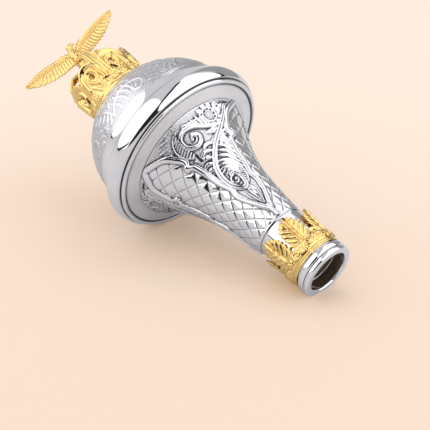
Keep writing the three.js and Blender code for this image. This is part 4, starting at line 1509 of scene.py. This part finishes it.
@dataclass
class Crown(Part):
    """Gilt crown: a rim on the dome, pierced lobes with foliage, ribbed arches and a boss.

    The wall reaches foot below the crown's base. The hole is given by its height over the base, its
    half width and its half height.
    """

    turned_by: float = -32.0
    lobes: int = 8
    arches: int = 4
    arch_width: float = 7.4
    wall: float = 3.2
    foot: float = 0.35
    hole: tuple[float, float, float] = (20.2, 2.2, 3.1)
    boss_radius: float = 6.4
    boss_height: float = 7.0
    boss_columns: int = 64
    ribs: float = 0.42
    columns: int = 440
    rows: int = 62
    arch_ring: int = 60

    def wall_top(self, angle: Grid) -> Grid:
        """Height of the lobed upper edge: 0.46 + 0.2 * |sin|^0.6 of the crown's height."""
        s = self.sizes
        wave = np.abs(np.sin(np.radians((angle - self.turned_by) * self.lobes / 2.0)))
        return s.crown_base + s.crown_height * (0.46 + 0.2 * wave**0.6)

    def wall_radius(self, height: Grid, top: Grid) -> Grid:
        """Radius of the wall without its foliage: a round rim, a groove, a bead and a slight flare."""
        rise = height - self.sizes.crown_base
        rim = 2.0 * crest((rise - 1.0) / 1.9)
        bead = 0.9 * crest((rise - 4.0) / 0.9)
        flare = 0.9 * smooth(8.0, 20.0, rise)
        roll = 0.7 * crest((top - height - 1.3) / 1.3)
        return self.sizes.crown - self.foot + rim + bead + flare + roll

    def foliage(self, across: Grid, rise: Grid) -> Relief:
        """Foliage of one lobe: an edge scroll, a ring round the hole, palm leaves and a middle stem.

        Args:
            across: distance from the lobe's middle in millimetres.
            rise: height over the crown's base.

        Returns:
            The relief of every lobe.
        """
        relief = Relief(across, rise)
        for side in (-1.0, 1.0):
            relief.stroke([(side * 9.0, 15.0), (side * 7.8, 23.0), (side * 4.8, 28.4), (0.0, 30.2)],
                          4.6, 1.6, taper=0.15, groove=0.15)
            relief.stroke([(side * 3.5, 16.6), (side * 4.1, 20.4), (side * 2.6, 24.0), (0.0, 25.2)],
                          2.2, 1.3, taper=0.1)
            relief.stroke([(side * 3.5, 17.4), (side * 1.9, 14.6), (0.0, 12.2)], 2.2, 1.3, taper=0.1)
            relief.leaf((side * 1.2, 5.6), (side * 5.6, 13.0), 4.6, 1.0, lobes=3, bend=side * 0.12)
            relief.leaf((side * 8.6, 5.6), (side * 7.8, 14.5), 3.8, 1.0, lobes=3)
        return relief

    def straps(self, across: Grid, rise: Grid) -> Relief:
        """Reeded strap that runs down the wall under each arch, with a cross bar and leaves below.

        Args:
            across: distance from the arch's middle in millimetres.
            rise: height over the crown's base.

        Returns:
            The relief of every strap.
        """
        relief = Relief(across, rise)
        for place in (-3.3, -1.1, 1.1, 3.3):
            relief.stroke([(place, 11.5), (place, 20.0), (place * 1.04, 34.0)], 2.1, 1.9, taper=0.0)
        relief.stroke([(-5.0, 11.4), (0.0, 10.2), (5.0, 11.4)], 1.8, 1.7, taper=0.1)
        for place in (-3.6, 0.0, 3.6):
            relief.leaf((place, 10.2), (place * 0.9, 5.9), 3.2, 1.3, lobes=2)
        return relief

    def build(self) -> None:
        """Makes the pierced wall and what rises from it."""
        s = self.sizes
        angle = round_angles(self.columns)
        top = self.wall_top(angle)[None, :]
        low = s.crown_base - self.foot
        height = low + np.linspace(0.0, 1.0, self.rows)[:, None] * (top - low)
        turn = np.repeat(angle[None, :], self.rows, axis=0)
        rise = height - s.crown_base
        pitch = 360.0 / self.lobes
        from_lobe = np.radians(wrapped(turn - self.turned_by - pitch / 2.0, pitch)) * s.crown
        from_arch = np.radians(wrapped(turn - self.turned_by, 360.0 / self.arches)) * s.crown
        raised = np.maximum(self.foliage(from_lobe, rise).height, self.straps(from_arch, rise).height)
        radius = self.wall_radius(height, top) + raised * smooth(5.0, 6.4, rise)
        # Painted shade in the hollows of the foliage, straps and mouldings.
        shade = 0.75 * recess_of(radius, 1.1, 2)
        level, half_width, half_height = self.hole
        holes = [(self.turned_by + pitch * (lobe + 0.5), s.crown_base + level, half_width, half_height)
                 for lobe in range(self.lobes)]
        faces = self.maker.grid_faces(self.rows, self.columns, Seam.ROUND)
        turn_flat, height_flat, faces = pierced(turn, height, faces, s.crown, holes)
        points = self.frame.around(radius.ravel(), turn_flat, height_flat)
        piece = walled(self.maker.mesh("crown_wall", *used_only(points, faces, shade)), self.wall)
        self.maker.finish(piece, GILT_CAST, "crown")
        self.top()

    def stand(self, local: Grid, angle: float) -> Grid:
        """Turns points of [out, aside, height] to an angle about the axis and lays them down."""
        turn = np.degrees(np.arctan2(local[..., 1], local[..., 0])) + angle
        return self.frame.around(np.hypot(local[..., 0], local[..., 1]), turn, local[..., 2])

    def arch(self) -> tuple[Grid, Grid]:
        """Works out one ribbed arch as a section carried along its route.

        The section is a rounded box: its sides follow cos a and sin a to the power 0.55, and the
        ribs |cos| of two and a half turns across its outer side.

        Returns:
            Points of [out, aside, height] and the painted shade between the ribs at each.
        """
        s = self.sizes
        route = through(np.array([[0.96, 0.30], [0.985, 0.42], [1.0, 0.56], [0.965, 0.72], [0.86, 0.85],
                                  [0.66, 0.93], [0.4, 0.94], [0.14, 0.925]]), 46)
        none = np.zeros(len(route))
        centres = np.stack([s.crown * route[:, 0], none, s.crown_base + s.crown_height * route[:, 1]], axis=1)
        wide = self.arch_width / 2.0 * (1.12 - 0.36 * np.linspace(0.0, 1.0, len(route)))
        turn = np.radians(round_angles(self.arch_ring))
        aside, raised = (np.sign(wave) * np.abs(wave) ** 0.55 for wave in (np.cos(turn), np.sin(turn)))
        ribs = self.ribs * np.abs(np.cos(2.5 * np.pi * aside)) * (raised > 0.0) * (np.abs(aside) < 0.96)
        ahead = np.gradient(centres, axis=0)
        ahead /= np.linalg.norm(ahead, axis=1, keepdims=True)
        out = np.stack([ahead[:, 2], none, -ahead[:, 0]], axis=1)
        points = centres[:, None, :] + (1.15 * raised + ribs - 0.6)[None, :, None] * out[:, None, :]
        points[..., 1] += wide[:, None] * aside[None, :]
        # Painted shade in the grooves between the ribs on the arch's outer side.
        shade = 0.9 * np.clip((0.22 - ribs) / 0.22, 0.0, 1.0) * (raised > 0.0) * (np.abs(aside) < 0.9)
        return points, np.tile(shade, (len(route), 1))

    def top(self) -> None:
        """Makes the ribbed arches, the curls on them and the boss under the eagle."""
        s = self.sizes
        batch = Batch()
        points, shade = self.arch()
        for number in range(self.arches):
            angle = self.turned_by + number * 360.0 / self.arches
            batch.add(self.stand(points, angle), loft_faces(*shade.shape), shade)
            self.curls(batch, angle)
        outline = np.array([[0.05, 1.0], [0.62, 0.94], [0.86, 0.84], [1.0, 0.64], [0.93, 0.42], [0.7, 0.3],
                            [0.56, 0.2], [0.5, 0.05], [0.05, 0.0]])
        profile = through(outline * [self.boss_radius, -self.boss_height] + [0.0, s.crown_top], 40)
        around = round_angles(self.boss_columns)[None, :]
        lobed = 1.0 + 0.07 * np.abs(np.cos(np.radians(around * 4.0)))
        boss = self.frame.around(np.maximum(profile[:, :1], 0.05) * lobed, around,
                                 np.repeat(profile[:, 1:], self.boss_columns, axis=1))
        batch.add(boss, loft_faces(len(profile), self.boss_columns))
        piece = outward(batch.mesh(self.maker, "crown_arches"))
        self.maker.finish(piece, GILT_CAST, "crown")

    def curls(self, batch: Batch, angle: float) -> None:
        """Adds a pair of rolled curls beside the shoulder of an arch, to a mesh, at its angle."""
        s = self.sizes
        turn = np.linspace(0.0, 1.6 * 2.0 * np.pi, 40)
        inwards = turn / turn[-1]
        reach = 3.1 * (1.0 - inwards * 0.82)
        thick = 1.05 * (1.0 - 0.45 * inwards)
        for side in (-1.0, 1.0):
            centres = np.stack([
                s.crown * 0.955 + 0.25 * np.sin(turn),
                side * (self.arch_width * 0.5 + 2.1 - reach * np.cos(turn)),
                s.crown_base + s.crown_height * 0.665 + reach * np.sin(turn)], axis=1)
            curl = swept(centres, thick, thick, (1.0, 0.0, 0.0), 12)
            batch.add(self.stand(curl, angle), loft_faces(40, 12))


@dataclass
class Eagle(Part):
    """Gilt eagle with spread wings, its back towards the viewer, on the crown's boss.

    The shares of its shape count in its height. The half span reaches from its middle to a wing's
    tip, sweep is how far the long feathers lean in, and wing_lean how far a wing's lower edge leans
    back.
    """

    turned_by: float = -125.0
    height: float = 27.7
    half_span: float = 42.0
    chord: float = 13.2
    feathers: int = 19
    sweep: float = 0.34
    wing_lean: float = 0.1
    tail_feathers: int = 7
    perch_radius: float = 6.4

    def lay(self, local: Grid) -> Grid:
        """Lays down points given as [across, back, up] in millimetres from the eagle's foot."""
        turn = math.radians(self.turned_by)
        x, y, z = local[..., 0], local[..., 1], local[..., 2]
        return self.frame.place(x * math.cos(turn) - y * math.sin(turn),
                                x * math.sin(turn) + y * math.cos(turn),
                                z + self.sizes.crown_top + self.sizes.joint_gap)

    def limb(self, batch: Batch, stations: Sequence[tuple[float, ...]], rows: int, ring: int,
             side: tuple[float, float, float] = (1.0, 0.0, 0.0), flat: float = 1.0,
             relief: Optional[Callable[[Grid, Grid], Grid]] = None, dark: float = 0.0) -> None:
        """Adds a rounded body along stations of [across, back, up, half width] in shares of the
        eagle's height.

        Args:
            batch: the mesh to add to.
            stations: the stations.
            rows: rows along it.
            ring: points round it.
            side: direction of its width.
            flat: depth as a share of the width.
            relief: raised height at a share of the length and an angle.
            dark: strength of the shade painted where the relief is low.
        """
        path = through(np.array(stations) * self.height, rows)
        wide = np.maximum(path[:, 3], 0.05)
        points = swept(path[:, :3], wide, wide * flat, side, ring, relief)
        shade = np.zeros(points.shape[:2])
        if relief is not None:
            raised = relief(*np.meshgrid(np.linspace(0.0, 1.0, rows), np.radians(round_angles(ring)),
                                         indexing="ij"))
            # Painted shade where the relief is low.
            shade = dark * np.clip(1.0 - raised / float(raised.max()) * 2.2, 0.0, 1.0)
        batch.add(self.lay(points), loft_faces(rows, ring), shade)

    def wing(self, batch: Batch, side: float) -> None:
        """Adds one wing: rows of short feathers below the leading edge, then long ribbed feathers.

        The leading edge rises as 0.545 + 0.31 * sin(0.62 * pi * share^0.8) - 0.094 * share^4 of the
        eagle's height, and each long feather ends in a rounded tip.

        Args:
            batch: the mesh to add to.
            side: -1 for the left wing, 1 for the right one.
        """
        rows, half_ring = 14 * self.feathers, 44
        share = np.linspace(0.02, 1.0, rows)[:, None]
        lead = self.height * (0.545 + 0.31 * np.sin(0.62 * np.pi * share**0.8) - 0.094 * share**4)
        chord = self.chord * (0.80 + 2.2 * share * (1.0 - share))
        chord = chord * np.sqrt(np.maximum(1.0 - share**4.2, 0.01))
        down = np.concatenate([np.linspace(0.0, 1.0, half_ring), np.linspace(1.0, 0.0, half_ring)])[None, :]
        fan = share * (1.0 - self.sweep * down * share)
        place = (fan * self.feathers) % 1.0
        edge = (share * (1.0 - self.sweep * share) * self.feathers) % 1.0
        tip = crest(2.0 * place - 1.0)
        reach = chord * (0.88 + 0.12 * crest(2.0 * edge - 1.0))
        face = np.concatenate([np.ones(half_ring), -np.ones(half_ring)])[None, :]
        thick = (0.95 - 0.45 * share) * crest((2.0 * down - 1.0) ** 4)
        arm = 0.75 * soft_line((down - 0.07) / 0.09) * (1.0 - 0.5 * share)
        long_part = smooth(0.42, 0.5, down)
        short_part = (1.0 - long_part) * smooth(0.10, 0.16, down)
        barbs = 0.10 * np.cos(2.0 * np.pi * (down * 16.0 - 3.0 * np.abs(place - 0.5)))
        long_relief = 0.32 * tip - 0.18 + 0.24 * soft_line((place - 0.5) / 0.07) + barbs
        short_relief = 0.5 * scales(down * 7.5, share * self.feathers * 1.3) - 0.1
        relief = long_part * long_relief + short_part * short_relief + 0.30 * (1.0 - long_part)
        x = side * (self.half_span * share + 2.6 * down * (1.0 - share))
        y = face * (thick + arm + relief) + self.wing_lean * down * reach
        y = y + 0.08 * self.height * share * share + 0.3 * np.sin(np.pi * down) * (1.0 - share)
        z = lead - 0.93 * down * reach
        # Painted shade between the long feathers and where the short feathers' relief is low.
        shade = np.clip(0.65 * (1.0 - tip) ** 1.8 * long_part
                        + short_part * np.clip(0.5 - 2.2 * short_relief, 0.0, 1.0), 0.0, 1.0)
        faces = loft_faces(rows, 2 * half_ring)
        batch.add(self.lay(np.stack(np.broadcast_arrays(x, y, z), axis=-1)),
                  faces if side < 0.0 else faces[:, ::-1], shade)

    def tail(self, batch: Batch) -> None:
        """Adds the tail: a fan of straight ribbed feathers laid down over the crown."""
        for spread in np.linspace(-1.0, 1.0, self.tail_feathers):
            lift = 0.03 * (1.0 - abs(spread))
            stations = [(0.0, 0.09, 0.30, 0.045), (spread * 0.08 - 0.02, 0.14 + lift, 0.24, 0.055),
                        (spread * 0.15 - 0.04, 0.20 + lift, 0.16, 0.064),
                        (spread * 0.22 - 0.06, 0.27 + lift, 0.085, 0.07),
                        (spread * 0.27 - 0.08, 0.33 + lift, 0.02, 0.062),
                        (spread * 0.285 - 0.085, 0.36 + lift, -0.01, 0.02)]
            self.limb(batch, stations, 60, 24, (1.0, 0.0, 0.0), 0.36,
                      lambda s, a: 0.26 * np.exp(-((np.cos(a) / 0.2) ** 2))
                      + 0.07 * np.cos(60.0 * s + 5.0 * np.abs(np.cos(a))), 0.5)

    def build(self) -> None:
        """Makes the eagle with its perch."""
        batch = Batch()
        body = [(0, 0.05, 0.05, 0.03), (0, 0.036, 0.13, 0.11), (0, 0.014, 0.26, 0.165),
                (0, 0, 0.40, 0.18), (0, 0, 0.53, 0.155), (-0.012, 0, 0.60, 0.112),
                (-0.024, 0, 0.66, 0.088), (-0.036, 0, 0.72, 0.078), (-0.046, 0, 0.77, 0.075)]
        self.limb(batch, body, 130, 48, (1.0, 0.0, 0.0), 0.9,
                  lambda s, a: 0.42 * scales(14.0 * (1.0 - s), a / (2.0 * np.pi) * 11.0), 0.85)
        head = [(-0.03, 0, 0.73, 0.07), (-0.045, 0, 0.785, 0.088), (-0.062, 0, 0.83, 0.082),
                (-0.085, 0, 0.855, 0.052), (-0.095, 0, 0.865, 0.015)]
        self.limb(batch, head, 28, 24, (0.0, 1.0, 0.0), 1.0)
        beak = [(-0.05, 0, 0.80, 0.066), (-0.105, 0, 0.823, 0.058), (-0.155, 0, 0.825, 0.043),
                (-0.195, 0, 0.80, 0.028), (-0.21, 0, 0.755, 0.008)]
        self.limb(batch, beak, 30, 20, (0.0, 1.0, 0.0), 1.05)
        for side in (-1.0, 1.0):
            self.limb(batch, [(side * 0.075, -0.03, 0.33, 0.085), (side * 0.10, -0.06, 0.20, 0.066),
                              (side * 0.115, -0.078, 0.10, 0.045), (side * 0.118, -0.083, 0.045, 0.05),
                              (side * 0.118, -0.087, 0.0, 0.05)], 30, 16, relief=lambda s, a: 0.2 * scales(
                                  9.0 * (1.0 - s), a / (2.0 * np.pi) * 6.0) * (s < 0.55), dark=0.6)
            for toe in (-1.0, 0.0, 1.0):
                self.limb(batch, [(side * 0.118, -0.08, 0.055, 0.032),
                                  (side * 0.118 + toe * 0.04, -0.13, 0.062, 0.028),
                                  (side * 0.118 + toe * 0.065, -0.175, 0.04, 0.02),
                                  (side * 0.118 + toe * 0.07, -0.19, 0.01, 0.006)], 12, 10)
            self.limb(batch, [(side * 0.07, 0.0, 0.50, 0.10), (side * 0.20, 0.015, 0.62, 0.075),
                              (side * 0.33, 0.02, 0.70, 0.05), (side * 0.42, 0.025, 0.72, 0.02)], 40, 24,
                      (0.0, 1.0, 0.0), 1.0,
                      lambda s, a: 0.3 * scales(8.0 * (1.0 - s), a / (2.0 * np.pi) * 7.0), 0.7)
            self.wing(batch, side)
        self.tail(batch)
        self.perch(batch)
        piece = batch.mesh(self.maker, "eagle_cast")
        self.maker.finish(piece, GILT_CAST, "eagle")

    def perch(self, batch: Batch) -> None:
        """Adds the small mound that the eagle stands on, turned from a profile with a wavy edge."""
        outline = np.array([[0.05, 0.0], [0.94, 0.0], [0.93, 0.12], [0.84, 0.25], [0.56, 0.40], [0.05, 0.44]])
        profile = through(outline * self.perch_radius, 24)
        turn = np.radians(round_angles(48))[None, :]
        radius = np.maximum(profile[:, :1], 0.05) * (1.0 + 0.03 * np.cos(9.0 * turn))
        height = np.repeat(np.maximum(profile[:, 1:], 0.0), turn.size, axis=1)
        local = np.stack([radius * np.cos(turn), radius * np.sin(turn), height], axis=-1)
        batch.add(self.lay(local), loft_faces(*radius.shape))


@dataclass
class Studio:
    """Pale floor, soft lights, the mirrored surroundings and the camera.

    Directions are given as an azimuth in degrees from -Y towards +X and an elevation.

    Attributes:
        azimuth: azimuth of the camera.
        elevation: elevation of the camera.
        aim: offsets of the axis point under the disc's edge from the camera, to the right, up and
            back, in radii of the disc.
        lens: focal length in millimetres for a 36 mm sensor.
        near_floor: colour of the floor in front.
        far_floor: colour of the floor behind.
        mirrored_floor: colour of the floor as the metal mirrors it.
        glow: faint warm light of the floor itself, which warms and lifts the shadows.
        white: strength of the white walls.
        grey: strength of the grey wall.
        ambient: light that falls on the floor from all round.
    """

    frame: LyingFrame
    sizes: HeadSizes = field(default_factory=HeadSizes)
    azimuth: float = 45.70
    elevation: float = 27.46
    aim: tuple[float, float, float] = (-0.29495, 0.73312, -14.35621)
    lens: float = 99.31
    near_floor: Colour = (0.70, 0.625, 0.585)
    far_floor: Colour = (0.745, 0.705, 0.705)
    mirrored_floor: Colour = (0.69, 0.715, 0.775)
    glow: Colour = (0.23, 0.15, 0.08)
    white: float = 1.45
    grey: float = 0.66
    ambient: Colour = (1.03, 0.94, 0.865)

    def direction(self, azimuth: float, elevation: float) -> Vector:
        """Unit vector of an azimuth and an elevation."""
        a, e = math.radians(azimuth), math.radians(elevation)
        return Vector((math.sin(a) * math.cos(e), -math.cos(a) * math.cos(e), math.sin(e)))

    def camera(self) -> None:
        """Places the camera at the photograph's viewing angle."""
        back = self.direction(self.azimuth, self.elevation)
        right = self.direction(self.azimuth + 90.0, 0.0)
        up = back.cross(right)
        disc = self.sizes.disc * MILLIMETRE
        height = self.sizes.neck_top + 2.9
        target = Vector(self.frame.place(0.0, 0.0, np.array(height)).tolist())
        data = bpy.data.cameras.new("camera")
        data.lens, data.sensor_width = self.lens, 36.0
        data.clip_start, data.clip_end = 0.05, 60.0
        holder = bpy.data.objects.new("camera", data)
        bpy.context.scene.collection.objects.link(holder)
        holder.location = target - disc * (self.aim[0] * right + self.aim[1] * up + self.aim[2] * back)
        holder.rotation_euler = Matrix((right, up, back)).transposed().to_euler()
        bpy.context.scene.camera = holder

    def floor(self) -> None:
        """Makes the pale floor, a little deeper in front, which mirrors in the metal as plain grey."""
        data = bpy.data.meshes.new("floor")
        reach = 12.0
        data.from_pydata([(-reach, -reach, 0.0), (reach, -reach, 0.0), (reach, reach, 0.0),
                          (-reach, reach, 0.0)], [], [(0, 1, 2, 3)])
        floor = bpy.data.objects.new("floor", data)
        bpy.context.scene.collection.objects.link(floor)
        made = bpy.data.materials.new("floor")
        made.use_nodes = True
        tree = Tree(made.node_tree)
        place = tree.node("ShaderNodeTexCoord", output="Object")
        cloud = tree.node("ShaderNodeTexNoise", inputs={"Vector": place, "Scale": 3.0, "Detail": 1.0})
        share = tree.reach(place, -self.direction(self.azimuth, 0.0)).ramp(-0.28, 0.42)
        share = share + (cloud - 0.5) * 0.2
        seen = tree.blend(share, rgba(self.near_floor), rgba(self.far_floor))
        mirrored = tree.node("ShaderNodeLightPath", output="Is Glossy Ray")
        colour = tree.blend(mirrored, seen, rgba(self.mirrored_floor))
        glow = tree.blend(mirrored, rgba(self.glow), rgba((0.0, 0.0, 0.0)))
        coat = tree.node("ShaderNodeBsdfPrincipled", inputs={
            "Base Color": colour, "Roughness": 0.85, "Specular IOR Level": 0.0,
            "Emission Color": glow, "Emission Strength": 1.0})
        tree.node("ShaderNodeOutputMaterial", inputs={"Surface": coat})
        data.materials.append(made)

    def beyond(self, ray: Wire, first: Place, second: Place, inside: Place) -> Wire:
        """How far a ray lies beyond the plane through two directions.

        Args:
            ray: the ray's direction.
            first: azimuth and elevation of one direction in the plane.
            second: azimuth and elevation of another.
            inside: azimuth and elevation on the side that counts as positive.

        Returns:
            The distance of the ray's end from the plane.
        """
        normal = self.direction(*first).cross(self.direction(*second)).normalized()
        if normal.dot(self.direction(*inside)) < 0.0:
            normal = -normal
        return ray.tree.reach(ray, normal)

    def surroundings(self) -> None:
        """Makes what the metal mirrors: two white walls with a black gap between them that widens
        towards the floor, a grey wall on the left and dark edges, and even light for the floor."""
        world = bpy.data.worlds.new("studio")
        bpy.context.scene.world = world
        world.use_nodes = True
        tree = Tree(world.node_tree)
        ray = tree.node("ShaderNodeTexCoord", output="Generated")
        rise = tree.reach(ray, (0.0, 0.0, 1.0))
        across = tree.reach(ray, (0.715, 0.694, 0.076))
        onward = tree.reach(ray, (0.639, -0.769, 0.0))
        gap = (0.70 - 0.80 * rise).at_least(0.07) * onward.ramp(-0.02, 0.05)
        gap = gap + 0.055 * (1.0 - onward.ramp(-0.02, 0.05)) * onward.ramp(-0.45, -0.30)
        black = (1.0 - (across.size() - gap).ramp(-0.02, 0.02)) * rise.ramp(0.0, 0.03)
        left = self.beyond(ray, (-97.0, 12.0), (-46.0, 65.0), (-20.0, 30.0)).ramp(-0.03, 0.03)
        right = self.beyond(ray, (146.0, 5.0), (177.0, 36.0), (110.0, 50.0))
        low_edge = self.beyond(ray, (-94.0, -8.0), (-30.0, 4.0), (-60.0, 60.0)).size()
        level: "Wire | float" = self.grey
        for mask, strength in (
                (across.ramp(-0.02, 0.02) * right.ramp(-0.01, 0.02), self.white),
                ((1.0 - across.ramp(-0.02, 0.02)) * left * rise.ramp(0.02, 0.06), self.white),
                (across.ramp(0.0, 0.1) * (1.0 - right.ramp(-0.14, -0.10)), 0.34),
                (across.ramp(0.0, 0.1) * right.ramp(-0.12, -0.08) * (1.0 - right.ramp(-0.02, 0.02))
                 * (1.0 - rise.ramp(0.5, 0.62)), 0.03),
                ((1.0 - low_edge.ramp(0.02, 0.05)) * (1.0 - across.ramp(-0.75, -0.55)), 0.05),
                (black, 0.02)):
            level = level * (1.0 - mask) + mask * strength
        mirrored = tree.node("ShaderNodeLightPath", output="Is Glossy Ray")
        colour = tree.node("ShaderNodeCombineColor", inputs={
            "Red": level, "Green": level, "Blue": level * 1.02})
        colour = tree.blend(mirrored, rgba(self.ambient), colour)
        light = tree.node("ShaderNodeBackground", inputs={"Color": colour, "Strength": 1.0})
        tree.node("ShaderNodeOutputWorld", inputs={"Surface": light})
        bpy.context.scene.view_settings.view_transform = "Standard"

    def lamp(self, name: str, place: tuple[float, float, float], size: float, power: float,
             colour: Colour) -> None:
        """Adds a soft square lamp that points at the head and doesn't mirror in it.

        Args:
            name: name of the lamp.
            place: its place in metres.
            size: its edge in metres.
            power: its power in watts.
            colour: colour of its light.
        """
        data = bpy.data.lights.new(name, "AREA")
        data.energy, data.size, data.color = power, size, colour
        lamp = bpy.data.objects.new(name, data)
        bpy.context.scene.collection.objects.link(lamp)
        lamp.location = place
        lamp.rotation_euler = (-Vector(place)).to_track_quat("-Z", "Y").to_euler()
        lamp.visible_glossy = False

    def build(self) -> None:
        """Sets up the whole studio."""
        self.camera()
        self.floor()
        self.surroundings()
        self.lamp("key", (0.10, 0.62, 1.40), size=0.70, power=2.0, colour=(0.60, 0.86, 1.0))


def main() -> None:
    """Builds the head and its studio."""
    logging.basicConfig(level=logging.INFO, format="%(name)s: %(message)s")
    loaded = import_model()
    frame = LyingFrame.from_record(loaded["record"])
    maker = PieceMaker()
    for part in (Rim, SocketRing, EmbossedNeck, Dome, LeafCollar, Crown, Eagle):
        part(frame, maker).build()
    Studio(frame).build()


if __name__ == "__main__":
    main()
